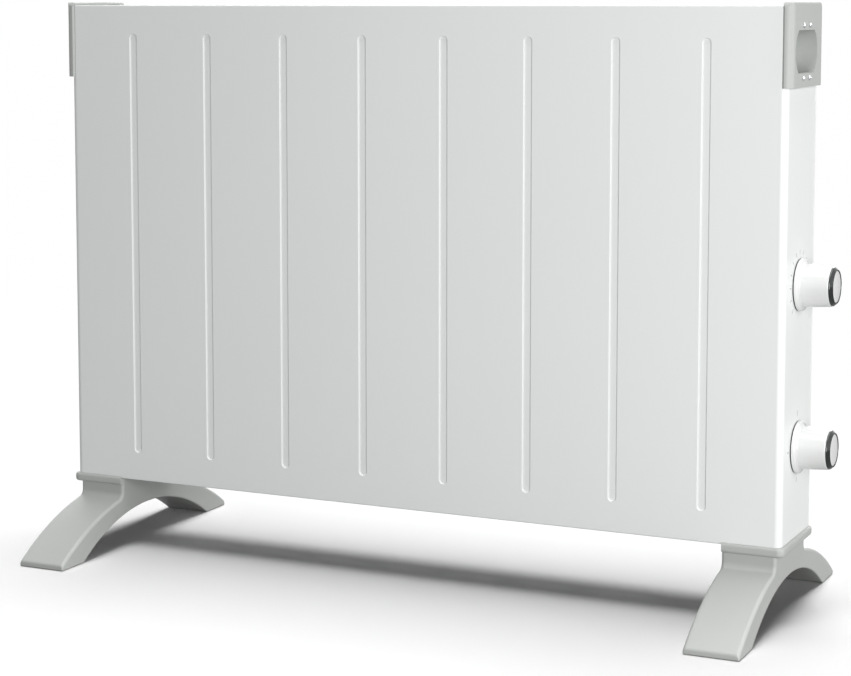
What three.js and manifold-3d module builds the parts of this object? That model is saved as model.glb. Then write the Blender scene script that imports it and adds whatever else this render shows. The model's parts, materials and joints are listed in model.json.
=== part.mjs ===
// Panel convector heater on two moulded feet, in millimetres, +Z up, front towards -Y.
// The origin is on the floor, under the middle of the whole width and of the case's depth.
// Inside the model, X = 0 is the middle of the case; the last group shifts it to the origin.

import * as THREE from 'three';
import { mergeVertices } from 'three/addons/utils/BufferGeometryUtils.js';
import Module from 'manifold-3d';

const wasm = await Module();
wasm.setup();

// ---- Case ----
const caseWidth = 734;
const caseHeight = 475;
const caseDepth = 95;
const floorGap = 70; // floor to the underside of the case
const sheet = 1; // steel sheet
const cornerRadius = 6.5; // upright front corners
const returnFlange = 13; // folded edges round the top, bottom and back openings
const seamFromBack = 4; // where the side sheets stop and the back panel's rim starts
const fit = 0.3; // gap between pieces that touch

// ---- Channels pressed into the front ----
const channelCount = 8;
const channelSideMargin = 73; // case side to the first channel's middle
const channelEndMargin = 28.5; // case top and bottom to the channel ends
const channelWidth = 7.5; // between the middles of the sloping sides
const channelDepth = 1.5;
const channelSlope = 1.2; // width of each sloping side

// ---- Air slots ----
const topSlotPitch = 15;
const topSlotWidth = 8;
const slotEdgeMargin = 7; // plate left round each field of slots
const baseSlotLength = 62;
const baseSlotWidth = 7;
const baseSlotPitch = 74;
const baseSlotRowPitch = 15;
const baseSlotRows = 3;
const backSlotLength = 56;
const backSlotWidth = 7;
const backSlotPitch = 66;
const backSlotRowPitch = 16;
const backIntakeRows = 3;
const backOutletRows = 2;
const backSlotMargin = 38; // case top and bottom to the nearest row of slots

// ---- Corner handles ----
const handleProud = 4.6; // out from the case side
const handleFrontProud = 2;
const handleTopProud = 3;
const handleWrap = 9.5; // how far the cap reaches in over the front and the top
const handleHeight = 74;
const handleCornerRadius = 7.5; // upright front corner of the cap
const handleTopRadius = 6;
const handleEdgeChamfer = 1.5;
const recessHalfWidth = 36;
const recessEndRadius = 21; // of its bowed front and back
const recessHeight = 37.4;
const recessForward = 6; // recess middle ahead of the case's mid-depth
const recessBelowTop = 43; // recess middle below the cap's top
const recessDepthTop = 14;
const recessDepthBottom = 21;
const recessWall = 1.4;
const handleScrewPitch = 20;
const handleScrewRise = 23; // screw rows above and below the recess middle

// ---- Feet ----
const footWidth = 50;
const footInset = 4; // outer side of the leg, in from the case side
const lipProud = 3;
const lipOverlap = 2; // lip above the underside of the case
const lipDrop = 6.5; // lip below the underside of the case
const lipRound = 2;
const neckHeight = 13.5;
const neckInset = 0.6; // neck's front and back, in from the case faces
const crownThickness = 13; // neck's lower edge down to the top of the arch
const toeReach = 107; // toe beyond the case's front and back
const toeLength = 37;
const toeTipHeight = 4;
const legEdgeBevel = 1.5;
const footScrewSpread = 44;
const footScrewSeat = 12; // plastic left above the screw head's seat

// ---- Fasteners ----
const handleScrew = { shank: 1.4, head: 2.4, headHeight: 1.2, length: 12 };
const footScrew = { shank: 2, head: 4.2, headHeight: 2.4, length: 24 };
const backScrew = { shank: 1.6, head: 3.2, headHeight: 1.8, length: 9 };
const backScrewInset = 8; // from the case side
const backScrewEndMargin = 52; // from the case top and bottom
const backScrewRows = 3;
const backBossRadius = 5;

// ---- Knobs and what they turn ----
const thermostatHeight = 229; // above the underside of the case
const powerHeight = 83.5;
const knobReach = 34.2; // end of the cap, out from the case side
const knobGap = 1; // case side to the skirt
const skirtRadius = 23.7;
const skirtThickness = 3.2;
const shoulderRise = 1; // from the skirt's face to the foot of the grip
const knobEdge = 1; // chamfers of the skirt's rim and of the grip's end
const gripRadius = 19.4;
const gripEndRadius = 17.8;
const gripEndStep = 0.5; // the ring stands in from the end of the grip by this
const ringWidth = 3.8;
const ringFoot = 0.8; // straight part before the ring's slope
const ringEndRadius = 14.4;
const ringEdge = 0.3;
const ringLedge = 2; // width of the ledge that the cap lies on
const capRadius = 14;
const capThickness = 2.6;
const capDome = 0.5;
const capEdge = 0.4;
const nutPocketRadius = 11.5;
const nutPocketDepth = 6;
const pointerWidth = 1.6;
const pointerDepth = 0.8;
const spindleRadius = 3;
const spindleEngagement = 14; // how far the spindle goes into the knob
const spindleInset = 12; // how far it goes in behind the case side
const bushRadius = 5;
const bushProud = 3.6;
const nutAcrossFlats = 14;
const nutHeight = 2.4;
const controlBody = { depth: 27, width: 32, height: 36 };
const terminalTab = { length: 8, width: 5, thickness: 1.2, spread: 16 };

// ---- Warm chamber ----
const partitionInset = 78; // from the right side of the case
const partitionHeight = 300;
const bracketInset = 40; // from the left side of the case
const bracketHeight = 118;
const bracketFoot = 14; // folded foot of the partition and the bracket
const uprightClearance = 1; // partition and bracket to the front and the back
const elementHeight = 84; // element axis above the underside of the case
const elementSpread = 38;
const elementWing = 13; // wing tips from the axis, along Y and Z
const elementWingThickness = 2.4;
const elementRodRadius = 5;
const studRadius = 2;
const studLength = 12;
const insulatorRadius = 9;
const insulatorCollar = 11.5;
const insulatorLength = 15;
const collarLength = 5;
const shieldBehindFront = 6;
const shieldHeight = 360;
const shieldFlange = 4; // folded edges towards the front
const shieldHood = 8; // folded top edge towards the back
const cutoutRadius = 8;
const cutoutCollar = 12;
const cutoutPlate = 2;
const cutoutDepth = 9;
const cutoutTabGap = 2; // middle to the near edge of each tab
const cutoutHeight = 175; // above the underside of the case
const blockSize = { length: 30, width: 16, height: 18 };
const blockGap = 5; // from the partition's foot to the terminal block
const glandInset = 30; // from the right side of the case
const glandRadius = 7;
const glandSnap = 1; // how far the inner rim holds over the hole's edge
const glandFlange = 10.5;
const glandFlangeThickness = 2.5;
const glandBore = 4;
const glandHeight = 42; // above the underside of the case
const earthScrew = { shank: 2, head: 4, headHeight: 3, length: 7 };
const earthScrewInset = 22; // from the right side of the case
const earthScrewBehindFlange = 8;
const leadRadius = 1.5;
const leadHoleRadius = 4;
const leadHoleRise = 14; // above the base plate
const leadStub = 6; // straight run that leaves a tab, a stud or a clamp
const leadBow = 9; // how far a lead swings out before it turns
const leadDrop = 24; // run in which a lead leaves a control for the next one
const leadPairGap = 0.1; // between two leads on one stud

// ---- Roundness ----
const holeSides = 12;
const smallSides = 8;
const roundSides = 30;
const arcSteps = 3; // an arc is drawn in twice as many straight runs
const archSteps = 8;
const leadSteps = 3; // runs between two points of a lead
const vertexMerge = 1e-4;

// ---- Places worked out from the sizes ----
const halfWidth = caseWidth / 2;
const halfDepth = caseDepth / 2;
const caseBottom = floorGap;
const caseTop = floorGap + caseHeight;
const seamY = halfDepth - seamFromBack;
const handleTop = caseTop + handleTopProud;
const handleBottom = handleTop - handleHeight;
const recessY = -recessForward;
const recessZ = handleTop - recessBelowTop;
const plateFloor = caseBottom + sheet + fit; // underside of the base plate
const floorTop = plateFloor + sheet; // what stands on the base plate stands here
const partitionX = halfWidth - partitionInset; // right face of the partition
const bracketX = -halfWidth + bracketInset; // left face of the bracket
const elementZ = caseBottom + elementHeight;
const thermostatZ = caseBottom + thermostatHeight;
const powerZ = caseBottom + powerHeight;
const cutoutZ = caseBottom + cutoutHeight;
const innerSide = halfWidth - sheet; // inner face of the side sheet
const footInner = halfWidth - footInset - footWidth;
const footMiddle = halfWidth - footInset - footWidth / 2;
const footScrewPlaces = [-footScrewSpread / 2, footScrewSpread / 2];
const glandPlace = [halfWidth - glandInset, caseBottom + glandHeight];

// ---- Finishes ----
const whiteSheet = { color: 0xe9ebe9, roughness: 0.5, metalness: 0 };
const greyPlastic = { color: 0xc2c6c2, roughness: 0.55, metalness: 0 };
const whitePlastic = { color: 0xf4f5f4, roughness: 0.25, metalness: 0 };
const chromePlate = { color: 0xd8dadc, roughness: 0.08, metalness: 1 };
const zincSteel = { color: 0xb9bcc0, roughness: 0.35, metalness: 1 };
const aluminium = { color: 0xc4c6c8, roughness: 0.4, metalness: 1 };
const ceramic = { color: 0xe6e0d2, roughness: 0.6, metalness: 0 };
const blackPlastic = { color: 0x202124, roughness: 0.5, metalness: 0 };
const brownLead = { color: 0x5a3a24, roughness: 0.5, metalness: 0 };
const blueLead = { color: 0x2c4f9c, roughness: 0.5, metalness: 0 };
const greenLead = { color: 0x3f8f3a, roughness: 0.5, metalness: 0 };

// ---- Solids: a closed geometry becomes a solid, is joined or cut, and comes back ----
function solid(geometry) {
  const bare = geometry.clone();
  bare.deleteAttribute('normal');
  bare.deleteAttribute('uv');
  const merged = mergeVertices(bare, vertexMerge);
  const mesh = new wasm.Mesh({
    numProp: 3,
    vertProperties: new Float32Array(merged.attributes.position.array),
    triVerts: new Uint32Array(merged.index.array),
  });
  return new wasm.Manifold(mesh);
}

function geometryOf(body) {
  const mesh = body.getMesh();
  const geometry = new THREE.BufferGeometry();
  geometry.setAttribute('position', new THREE.BufferAttribute(mesh.vertProperties, 3));
  geometry.setIndex(new THREE.BufferAttribute(mesh.triVerts, 1));
  geometry.computeVertexNormals();
  return geometry;
}

function joinAll(bodies) {
  return bodies.reduce((whole, body) => whole.add(body));
}

function cutAll(body, cutters) {
  return cutters.reduce((rest, cutter) => rest.subtract(cutter), body);
}

// ---- Basic shapes, placed by their limits ----
function block(x0, x1, y0, y1, z0, z1) {
  const box = new THREE.BoxGeometry(x1 - x0, y1 - y0, z1 - z0);
  box.translate((x0 + x1) / 2, (y0 + y1) / 2, (z0 + z1) / 2);
  return solid(box);
}

// An outline in (Y, Z), drawn out along X.
function alongX(outline, x0, x1, bevel = 0) {
  const options = bevelOptions(x1 - x0, bevel);
  const geometry = new THREE.ExtrudeGeometry(outline, options);
  const turn = new THREE.Matrix4().makeBasis(
    new THREE.Vector3(0, 1, 0),
    new THREE.Vector3(0, 0, 1),
    new THREE.Vector3(1, 0, 0),
  );
  geometry.applyMatrix4(turn);
  geometry.translate(x0 + bevel, 0, 0);
  return solid(geometry);
}

// An outline in (X, Z), drawn out along Y.
function alongY(outline, y0, y1) {
  const geometry = new THREE.ExtrudeGeometry(outline, bevelOptions(y1 - y0, 0));
  geometry.rotateX(Math.PI / 2);
  geometry.translate(0, y1, 0);
  return solid(geometry);
}

// An outline in (X, Y), drawn out along Z.
function alongZ(outline, z0, z1, bevel = 0) {
  const geometry = new THREE.ExtrudeGeometry(outline, bevelOptions(z1 - z0, bevel));
  geometry.translate(0, 0, z0 + bevel);
  return solid(geometry);
}

// A bevel takes its size off both ends and off the outline, so the whole keeps its size.
function bevelOptions(length, bevel) {
  return {
    depth: length - 2 * bevel,
    curveSegments: arcSteps,
    bevelEnabled: bevel > 0,
    bevelThickness: bevel,
    bevelSize: bevel,
    bevelOffset: -bevel,
    bevelSegments: 1,
  };
}

function outlineOf(points) {
  return new THREE.Shape(points.map(([a, b]) => new THREE.Vector2(a, b)));
}

// A rod along X, Y or Z, from one place on its axis to another.
function rod(axis, radius, from, to, centre, sides = holeSides) {
  const geometry = new THREE.CylinderGeometry(radius, radius, to - from, sides);
  const middle = (from + to) / 2;
  if (axis === 'x') {
    geometry.rotateZ(-Math.PI / 2);
    geometry.translate(middle, centre[0], centre[1]);
  } else if (axis === 'y') {
    geometry.translate(centre[0], middle, centre[1]);
  } else {
    geometry.rotateX(Math.PI / 2);
    geometry.translate(centre[0], centre[1], middle);
  }
  return solid(geometry);
}

// A turned piece about an axis along +X, from [distance along X, radius] points.
// A profile that leaves the axis closes on itself.
function turned(points, x, y, z, sides = roundSides) {
  const profile = points.map(([along, radius]) => new THREE.Vector2(radius, along));
  const onAxis = points[0][1] === 0 && points[points.length - 1][1] === 0;
  if (!onAxis) {
    profile.push(profile[0].clone());
  }
  const geometry = new THREE.LatheGeometry(profile, sides);
  geometry.rotateZ(-Math.PI / 2);
  geometry.translate(x, y, z);
  return solid(geometry);
}

// A pan-head screw: its shank lies along +axis from its head, whose seat is at `seat`.
function screw(size, axis, direction, seat, centre) {
  const tip = seat + direction * size.length;
  const crown = seat - direction * size.headHeight;
  const shank = rod(axis, size.shank, Math.min(seat, tip), Math.max(seat, tip), centre, smallSides);
  const head = rod(axis, size.head, Math.min(seat, crown), Math.max(seat, crown), centre);
  return head.add(shank);
}

function mirrored(body) {
  const geometry = geometryOf(body);
  geometry.scale(-1, 1, 1);
  const index = geometry.index.array;
  for (let i = 0; i < index.length; i += 3) {
    [index[i], index[i + 1]] = [index[i + 1], index[i]];
  }
  geometry.computeVertexNormals();
  return geometry;
}

// ---- Outlines ----
// The case seen from above, open at the back, grown by `grow` and stopped at `backY`.
function casePlan(grow, backY) {
  const side = halfWidth + grow;
  const front = -halfDepth - grow;
  const radius = cornerRadius + grow;
  const plan = new THREE.Shape();
  plan.moveTo(-side, backY);
  plan.lineTo(-side, front + radius);
  plan.absarc(-side + radius, front + radius, radius, Math.PI, 1.5 * Math.PI, false);
  plan.lineTo(side - radius, front);
  plan.absarc(side - radius, front + radius, radius, -0.5 * Math.PI, 0, false);
  plan.lineTo(side, backY);
  plan.closePath();
  return plan;
}

// The finger recess in (Y, Z): flat at its top and bottom, bowed at its front and back, grown by `grow`.
function recessOutline(grow) {
  const radius = recessEndRadius + grow;
  const reach = recessHalfWidth - recessEndRadius;
  const half = recessHeight / 2 + grow;
  const lift = Math.asin(half / radius);
  const outline = new THREE.Shape();
  outline.absarc(recessY + reach, recessZ, radius, -lift, lift, false);
  outline.absarc(recessY - reach, recessZ, radius, Math.PI - lift, Math.PI + lift, false);
  outline.closePath();
  return outline;
}

// Points on an arc about a centre on the foot's middle plane, through two given points.
function archPoints(nearY, nearZ, farY, farZ, steps) {
  const drop = nearZ - farZ;
  const centreZ = (nearZ + farZ) / 2 - (farY ** 2 - nearY ** 2) / (2 * drop);
  const radius = Math.hypot(farY, farZ - centreZ);
  const points = [];
  for (let i = 0; i <= steps; i += 1) {
    const y = nearY + ((farY - nearY) * i) / steps;
    points.push([y, centreZ + Math.sqrt(radius ** 2 - y ** 2)]);
  }
  return points;
}

// ---- Sheet metal ----
function screwPlaces() {
  const places = [];
  const low = caseBottom + backScrewEndMargin;
  const high = caseTop - backScrewEndMargin;
  for (const side of [-1, 1]) {
    for (let row = 0; row < backScrewRows; row += 1) {
      const z = low + ((high - low) * row) / (backScrewRows - 1);
      places.push([side * (halfWidth - backScrewInset), z]);
    }
  }
  return places;
}

function handleScrewPlaces() {
  const places = [];
  for (const rise of [handleScrewRise, -handleScrewRise]) {
    for (const shift of [-0.5, 0.5]) {
      places.push([recessY + shift * handleScrewPitch, recessZ + rise]);
    }
  }
  return places;
}

// A round-ended channel at x with sloping sides, pressed in from an upright plane at faceY.
function pressedShape(x, half, faceY) {
  const low = caseBottom + channelEndMargin + channelWidth / 2;
  const high = caseTop - channelEndMargin - channelWidth / 2;
  const outline = new THREE.Shape();
  outline.absarc(x, high, half, 0, Math.PI, false);
  outline.absarc(x, low, half, Math.PI, 2 * Math.PI, false);
  outline.closePath();
  const geometry = new THREE.ExtrudeGeometry(outline, {
    depth: sheet,
    curveSegments: arcSteps,
    bevelEnabled: true,
    bevelThickness: channelDepth,
    bevelSize: channelSlope,
    bevelOffset: -channelSlope,
    bevelSegments: 1,
  });
  geometry.rotateX(Math.PI / 2);
  geometry.translate(0, faceY, 0);
  return solid(geometry);
}

function makeFrontShell() {
  const outside = alongZ(casePlan(0, seamY), caseBottom, caseTop);
  const cavity = alongZ(casePlan(-sheet, seamY - sheet), caseBottom + sheet, caseTop - sheet);
  const mouthX = halfWidth - returnFlange;
  const mouthY = halfDepth - returnFlange;
  const topMouth = block(-mouthX, mouthX, -mouthY, mouthY, caseBottom - sheet, caseTop + sheet);
  const backMouth = block(
    -mouthX, mouthX, 0, halfDepth, caseBottom + returnFlange, caseTop - returnFlange,
  );
  const pitch = (caseWidth - 2 * channelSideMargin) / (channelCount - 1);
  const half = (channelWidth + channelSlope) / 2;
  const inFront = block(
    -halfWidth, halfWidth, -caseDepth, -halfDepth + sheet / 2, caseBottom, caseTop,
  );
  const backs = [];
  const channels = [];
  for (let i = 0; i < channelCount; i += 1) {
    const x = -halfWidth + channelSideMargin + i * pitch;
    channels.push(pressedShape(x, half, -halfDepth));
    backs.push(pressedShape(x, half + sheet / 2, -halfDepth + sheet).subtract(inFront));
  }
  const bent = cutAll(outside, [cavity, topMouth, backMouth]);
  const holes = [];
  for (const z of [thermostatZ, powerZ]) {
    holes.push(rod('x', bushRadius + fit, innerSide - sheet, halfWidth + sheet, [0, z]));
  }
  for (const side of [-1, 1]) {
    const inner = side > 0 ? innerSide - sheet : -halfWidth - sheet;
    const outer = side > 0 ? halfWidth + sheet : -innerSide + sheet;
    holes.push(alongX(recessOutline(recessWall + fit), inner, outer));
    for (const place of handleScrewPlaces()) {
      holes.push(rod('x', handleScrew.shank + fit, inner, outer, place, smallSides));
    }
  }
  for (const [x, z] of screwPlaces()) {
    holes.push(rod('y', backScrew.shank + fit, seamY - 2 * sheet, seamY + sheet, [x, z], smallSides));
  }
  return cutAll(joinAll([bent, ...backs]), [...channels, ...holes]);
}

// Middles of as many slots as fit between two places, centred between them.
function slotCentres(from, to, pitch, length) {
  const count = Math.floor((to - from - length) / pitch) + 1;
  const first = (from + to) / 2 - ((count - 1) * pitch) / 2;
  return Array.from({ length: count }, (_, i) => first + i * pitch);
}

function makeTopGrille() {
  const side = innerSide - fit;
  const z1 = caseTop - sheet - fit;
  const plate = alongZ(casePlan(-sheet - fit, seamY - sheet - fit), z1 - sheet, z1);
  const from = -side + returnFlange + slotEdgeMargin;
  const reach = halfDepth - returnFlange - slotEdgeMargin;
  const slots = slotCentres(from, -from, topSlotPitch, topSlotWidth).map((x) => {
    const half = topSlotWidth / 2;
    return block(x - half, x + half, -reach, reach, z1 - 2 * sheet, z1 + sheet);
  });
  return plate.subtract(joinAll(slots));
}

function makeBasePlate() {
  const plate = alongZ(casePlan(-sheet - fit, seamY - sheet - fit), plateFloor, plateFloor + sheet);
  const from = bracketX + bracketFoot + slotEdgeMargin;
  const to = partitionX - bracketFoot - slotEdgeMargin;
  const cutters = [];
  for (const x of slotCentres(from, to, baseSlotPitch, baseSlotLength)) {
    for (let row = 0; row < baseSlotRows; row += 1) {
      const y = (row - (baseSlotRows - 1) / 2) * baseSlotRowPitch;
      const half = baseSlotWidth / 2;
      const end = baseSlotLength / 2;
      cutters.push(block(x - end, x + end, y - half, y + half, caseBottom, floorTop + sheet));
    }
  }
  for (const side of [-1, 1]) {
    for (const y of footScrewPlaces) {
      const centre = [side * footMiddle, y];
      cutters.push(rod('z', footScrew.shank + fit, caseBottom, floorTop + sheet, centre, smallSides));
    }
  }
  return plate.subtract(joinAll(cutters));
}

function makeBackPanel() {
  const rimFront = seamY + fit;
  const plan = new THREE.Shape();
  const edge = seamFromBack / 2; // rounded edge of the pressed pan
  plan.moveTo(-halfWidth, rimFront);
  plan.lineTo(halfWidth, rimFront);
  plan.absarc(halfWidth - edge, halfDepth - edge, edge, 0, Math.PI / 2, false);
  plan.absarc(-halfWidth + edge, halfDepth - edge, edge, Math.PI / 2, Math.PI, false);
  plan.closePath();
  const pan = alongZ(plan, caseBottom, caseTop);
  const inside = block(
    -halfWidth + sheet, halfWidth - sheet, rimFront - sheet, halfDepth - sheet,
    caseBottom + sheet, caseTop - sheet,
  );
  const bosses = screwPlaces().map((centre) => {
    return rod('y', backBossRadius, rimFront, halfDepth - sheet / 2, centre);
  });
  const cutters = screwPlaces().map((centre) => {
    return rod('y', backScrew.shank + fit, rimFront - sheet, halfDepth + sheet, centre, smallSides);
  });
  const reach = halfWidth - backScrewInset - backBossRadius - slotEdgeMargin;
  const slotRow = (z) => slotCentres(-reach, reach, backSlotPitch, backSlotLength).map((x) => {
    const end = backSlotLength / 2;
    const half = backSlotWidth / 2;
    return block(x - end, x + end, halfDepth - 2 * sheet, halfDepth + sheet, z - half, z + half);
  });
  for (let row = 0; row < backIntakeRows; row += 1) {
    cutters.push(...slotRow(caseBottom + glandHeight + backSlotMargin + row * backSlotRowPitch));
  }
  for (let row = 0; row < backOutletRows; row += 1) {
    cutters.push(...slotRow(caseTop - backSlotMargin - row * backSlotRowPitch));
  }
  const hole = rod(
    'y', glandRadius + fit, halfDepth - 2 * sheet, halfDepth + sheet, glandPlace, roundSides / 2,
  );
  cutters.push(hole);
  return joinAll([pan.subtract(inside), ...bosses]).subtract(joinAll(cutters));
}

// ---- Corner handles ----
function makeHandle() {
  const outerX = halfWidth + handleProud;
  const innerX = outerX - handleWrap;
  const frontY = -halfDepth - handleFrontProud;
  const rearY = seamY;
  const radius = handleCornerRadius;
  const plan = new THREE.Shape();
  plan.moveTo(innerX, rearY);
  plan.lineTo(innerX, frontY + handleEdgeChamfer);
  plan.lineTo(innerX + handleEdgeChamfer, frontY);
  plan.absarc(outerX - radius, frontY + radius, radius, -Math.PI / 2, 0, false);
  plan.lineTo(outerX, rearY);
  plan.closePath();
  const side = new THREE.Shape();
  const round = handleTopRadius;
  side.moveTo(frontY, handleBottom);
  side.lineTo(rearY, handleBottom);
  side.absarc(rearY - round, handleTop - round, round, 0, Math.PI / 2, false);
  side.absarc(frontY + round, handleTop - round, round, Math.PI / 2, Math.PI, false);
  side.closePath();
  const topEdge = outlineOf([
    [innerX, handleBottom],
    [outerX, handleBottom],
    [outerX, handleTop - handleEdgeChamfer],
    [outerX - handleEdgeChamfer, handleTop],
    [innerX + handleEdgeChamfer, handleTop],
    [innerX, handleTop - handleEdgeChamfer],
  ]);
  const cap = alongZ(plan, handleBottom, handleTop)
    .intersect(alongX(side, innerX, outerX))
    .intersect(alongY(topEdge, frontY, rearY));
  const caseSpace = alongZ(casePlan(fit, rearY + fit), handleBottom - fit, caseTop + fit);
  const pocketWall = alongX(recessOutline(recessWall), halfWidth - recessDepthBottom, outerX - sheet)
    .intersect(makePocketFill(recessWall));
  const cutters = [makePocketFill(0).intersect(alongX(recessOutline(0), 0, outerX + sheet))];
  for (const place of handleScrewPlaces()) {
    cutters.push(rod('x', handleScrew.shank + fit, innerSide, outerX + sheet, place, smallSides));
  }
  return cutAll(cap.subtract(caseSpace).add(pocketWall), cutters);
}

// Everything outside the slanting floor of the recess, moved in by `wall`.
function makePocketFill(wall) {
  const reach = recessHeight; // well past the recess, above and below
  const low = recessZ - reach;
  const high = recessZ + reach;
  const lean = (recessDepthBottom - recessDepthTop) / recessHeight;
  const middle = halfWidth - (recessDepthTop + recessDepthBottom) / 2 + recessWall - wall;
  const outline = outlineOf([
    [middle - lean * reach, low],
    [halfWidth + 2 * handleProud, low],
    [halfWidth + 2 * handleProud, high],
    [middle + lean * reach, high],
  ]);
  return alongY(outline, -caseDepth, caseDepth);
}

// ---- Feet ----
function makeFoot() {
  const lipTop = caseBottom + lipOverlap;
  const lipBottom = caseBottom - lipDrop;
  const neckBottom = lipBottom - neckHeight;
  const neckY = halfDepth - neckInset;
  const toeY = halfDepth + toeReach;
  const archY = toeY - toeLength;
  const archTop = neckBottom - crownThickness;
  const top = archPoints(neckY, neckBottom, toeY, toeTipHeight, archSteps);
  const under = archPoints(0, archTop, archY, 0, archSteps);
  const front = ([y, z]) => [-y, z];
  const leg = alongX(
    outlineOf([
      ...under.slice(1).reverse().map(front),
      ...under,
      [toeY, 0],
      ...[...top].reverse(),
      [neckY, caseBottom],
      [-neckY, caseBottom],
      ...top.map(front),
      [-toeY, 0],
    ]),
    footInner, footInner + footWidth, legEdgeBevel,
  );
  const lipSide = halfWidth + lipProud;
  const lipY = halfDepth + lipProud;
  const round = cornerRadius;
  const plan = new THREE.Shape();
  plan.moveTo(footInner, lipY);
  plan.lineTo(footInner, -lipY);
  plan.absarc(lipSide - round, -lipY + round, round, -Math.PI / 2, 0, false);
  plan.absarc(lipSide - round, lipY - round, round, 0, Math.PI / 2, false);
  plan.closePath();
  const lip = alongZ(plan, lipBottom, lipTop, lipRound);
  const caseSpace = alongZ(casePlan(fit, halfDepth + fit), caseBottom - fit, caseTop);
  const cutters = [caseSpace];
  for (const y of footScrewPlaces) {
    const centre = [footMiddle, y];
    const seat = caseBottom - footScrewSeat;
    cutters.push(rod('z', footScrew.shank + fit, 0, caseTop, centre, smallSides));
    cutters.push(rod('z', footScrew.head + 2 * fit, 0, seat, centre));
  }
  return cutAll(leg.add(lip), cutters);
}

// ---- Knobs ----
const skirtX = halfWidth + knobGap;
const capFace = halfWidth + knobReach;
const ringBack = capFace - ringWidth;
const gripFace = ringBack - fit;

function makeKnob(z) {
  const face = gripFace - skirtX;
  const shoulder = skirtThickness + shoulderRise;
  const hub = nutPocketDepth + spindleEngagement;
  const body = turned(
    [
      [nutPocketDepth, spindleRadius + fit],
      [nutPocketDepth, nutPocketRadius],
      [0, nutPocketRadius],
      [0, skirtRadius],
      [skirtThickness - knobEdge, skirtRadius],
      [skirtThickness, skirtRadius - knobEdge],
      [shoulder, gripRadius],
      [face - knobEdge, gripEndRadius],
      [face, gripEndRadius - gripEndStep],
      [face, 0],
      [hub, 0],
      [hub, spindleRadius + fit],
    ],
    skirtX, 0, z,
  );
  const half = pointerWidth / 2;
  const floor = z + gripEndRadius - pointerDepth;
  const groove = block(skirtX + shoulder, capFace, -half, half, floor, z + skirtRadius);
  return body.subtract(groove);
}

function makeRing(z) {
  const ledge = ringWidth - capThickness;
  const foot = gripEndRadius - gripEndStep;
  return turned(
    [
      [0, capRadius - ringLedge],
      [0, foot],
      [ringFoot, foot],
      [ringWidth - ringEdge, ringEndRadius + ringEdge],
      [ringWidth - 2 * ringEdge, ringEndRadius],
      [ledge, capRadius + fit],
      [ledge, capRadius - ringLedge],
    ],
    ringBack, 0, z,
  );
}

function makeCap(z) {
  return turned(
    [
      [fit - capThickness, 0],
      [fit - capThickness, capRadius],
      [-capDome - capEdge, capRadius],
      [-capDome, capRadius - capEdge],
      [-capDome / 4, capRadius / 2],
      [0, 0],
    ],
    capFace, 0, z,
  );
}

function makeSpindle(z) {
  const inner = halfWidth - spindleInset;
  const outer = skirtX + nutPocketDepth + spindleEngagement - fit;
  return rod('x', spindleRadius, inner, outer, [0, z], roundSides / 2);
}

// ---- Controls behind the right side ----
const tabEndX = innerSide - fit - controlBody.depth - terminalTab.length;

function makeControl(z) {
  const face = innerSide - fit;
  const back = face - controlBody.depth;
  const halfY = controlBody.width / 2;
  const halfZ = controlBody.height / 2;
  const parts = [
    block(back, face, -halfY, halfY, z - halfZ, z + halfZ),
    rod('x', bushRadius, face - sheet, halfWidth + bushProud, [0, z], roundSides / 2),
  ];
  for (const [y, tabZ] of tabPlaces(z)) {
    parts.push(tabBlock(tabEndX, back + sheet, y, tabZ));
  }
  const bore = rod(
    'x', spindleRadius + fit, halfWidth - spindleInset - fit, skirtX + nutPocketDepth, [0, z],
    roundSides / 2,
  );
  return joinAll(parts).subtract(bore);
}

function tabBlock(x0, x1, y, z) {
  const wide = terminalTab.width / 2;
  const thin = terminalTab.thickness / 2;
  return block(x0, x1, y - wide, y + wide, z - thin, z + thin);
}

function tabPlaces(z) {
  const half = terminalTab.spread / 2;
  return [
    [-half, z + half],
    [half, z + half],
    [-half, z - half],
    [half, z - half],
  ];
}

function makeNut(z) {
  const corner = nutAcrossFlats / 2 / Math.cos(Math.PI / 6);
  const from = halfWidth + fit;
  const hex = rod('x', corner, from, from + nutHeight, [0, z], 6);
  return hex.subtract(rod('x', bushRadius + fit, from - sheet, from + nutHeight + sheet, [0, z]));
}

// ---- Warm chamber ----
// An upright sheet across the case, its right face at x, with a foot folded to the right.
function makeUpright(x, height) {
  const y0 = -halfDepth + sheet + fit + uprightClearance;
  const y1 = seamY - sheet - fit - uprightClearance;
  const z0 = floorTop + fit;
  const wall = block(x - sheet, x, y0, y1, z0, z0 + height);
  return wall.add(block(x - sheet, x + bracketFoot, y0, y1, z0, z0 + sheet));
}

// The uprights' round holes: each is [radius, Y, Z].
function cutUpright(wall, x, holes) {
  const cutters = holes.map(([radius, y, z]) => {
    return rod('x', radius, x - 3 * sheet, x + 2 * sheet, [y, z]);
  });
  return cutAll(wall, cutters);
}

const elementPlaces = [-elementSpread / 2, elementSpread / 2];
const bracketFace = bracketX + sheet; // right face of the bracket
const insulatorInner = collarLength + fit; // collar on the warm side of its sheet
const elementLeft = bracketFace + insulatorInner + fit;
const elementRight = partitionX - sheet - insulatorInner - fit;
const studReach = insulatorLength + sheet + studLength; // beyond each end of the element
const studLeft = elementLeft - studReach;
const studRight = elementRight + studReach;
const rearHoleY = halfDepth - returnFlange - leadHoleRadius;
const neutralZ = floorTop + leadHoleRise;

const insulatorHoles = elementPlaces.map((y) => [insulatorRadius + fit, y, elementZ]);
const leadHole = [leadHoleRadius, rearHoleY, neutralZ];

function makePartition() {
  const cutoutHole = [cutoutRadius + fit, 0, cutoutZ];
  const holes = [...insulatorHoles, cutoutHole, leadHole];
  return cutUpright(makeUpright(partitionX, partitionHeight), partitionX, holes);
}

function makeBracket() {
  const holes = [...insulatorHoles, leadHole];
  return cutUpright(makeUpright(bracketFace, bracketHeight), bracketFace, holes);
}

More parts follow.
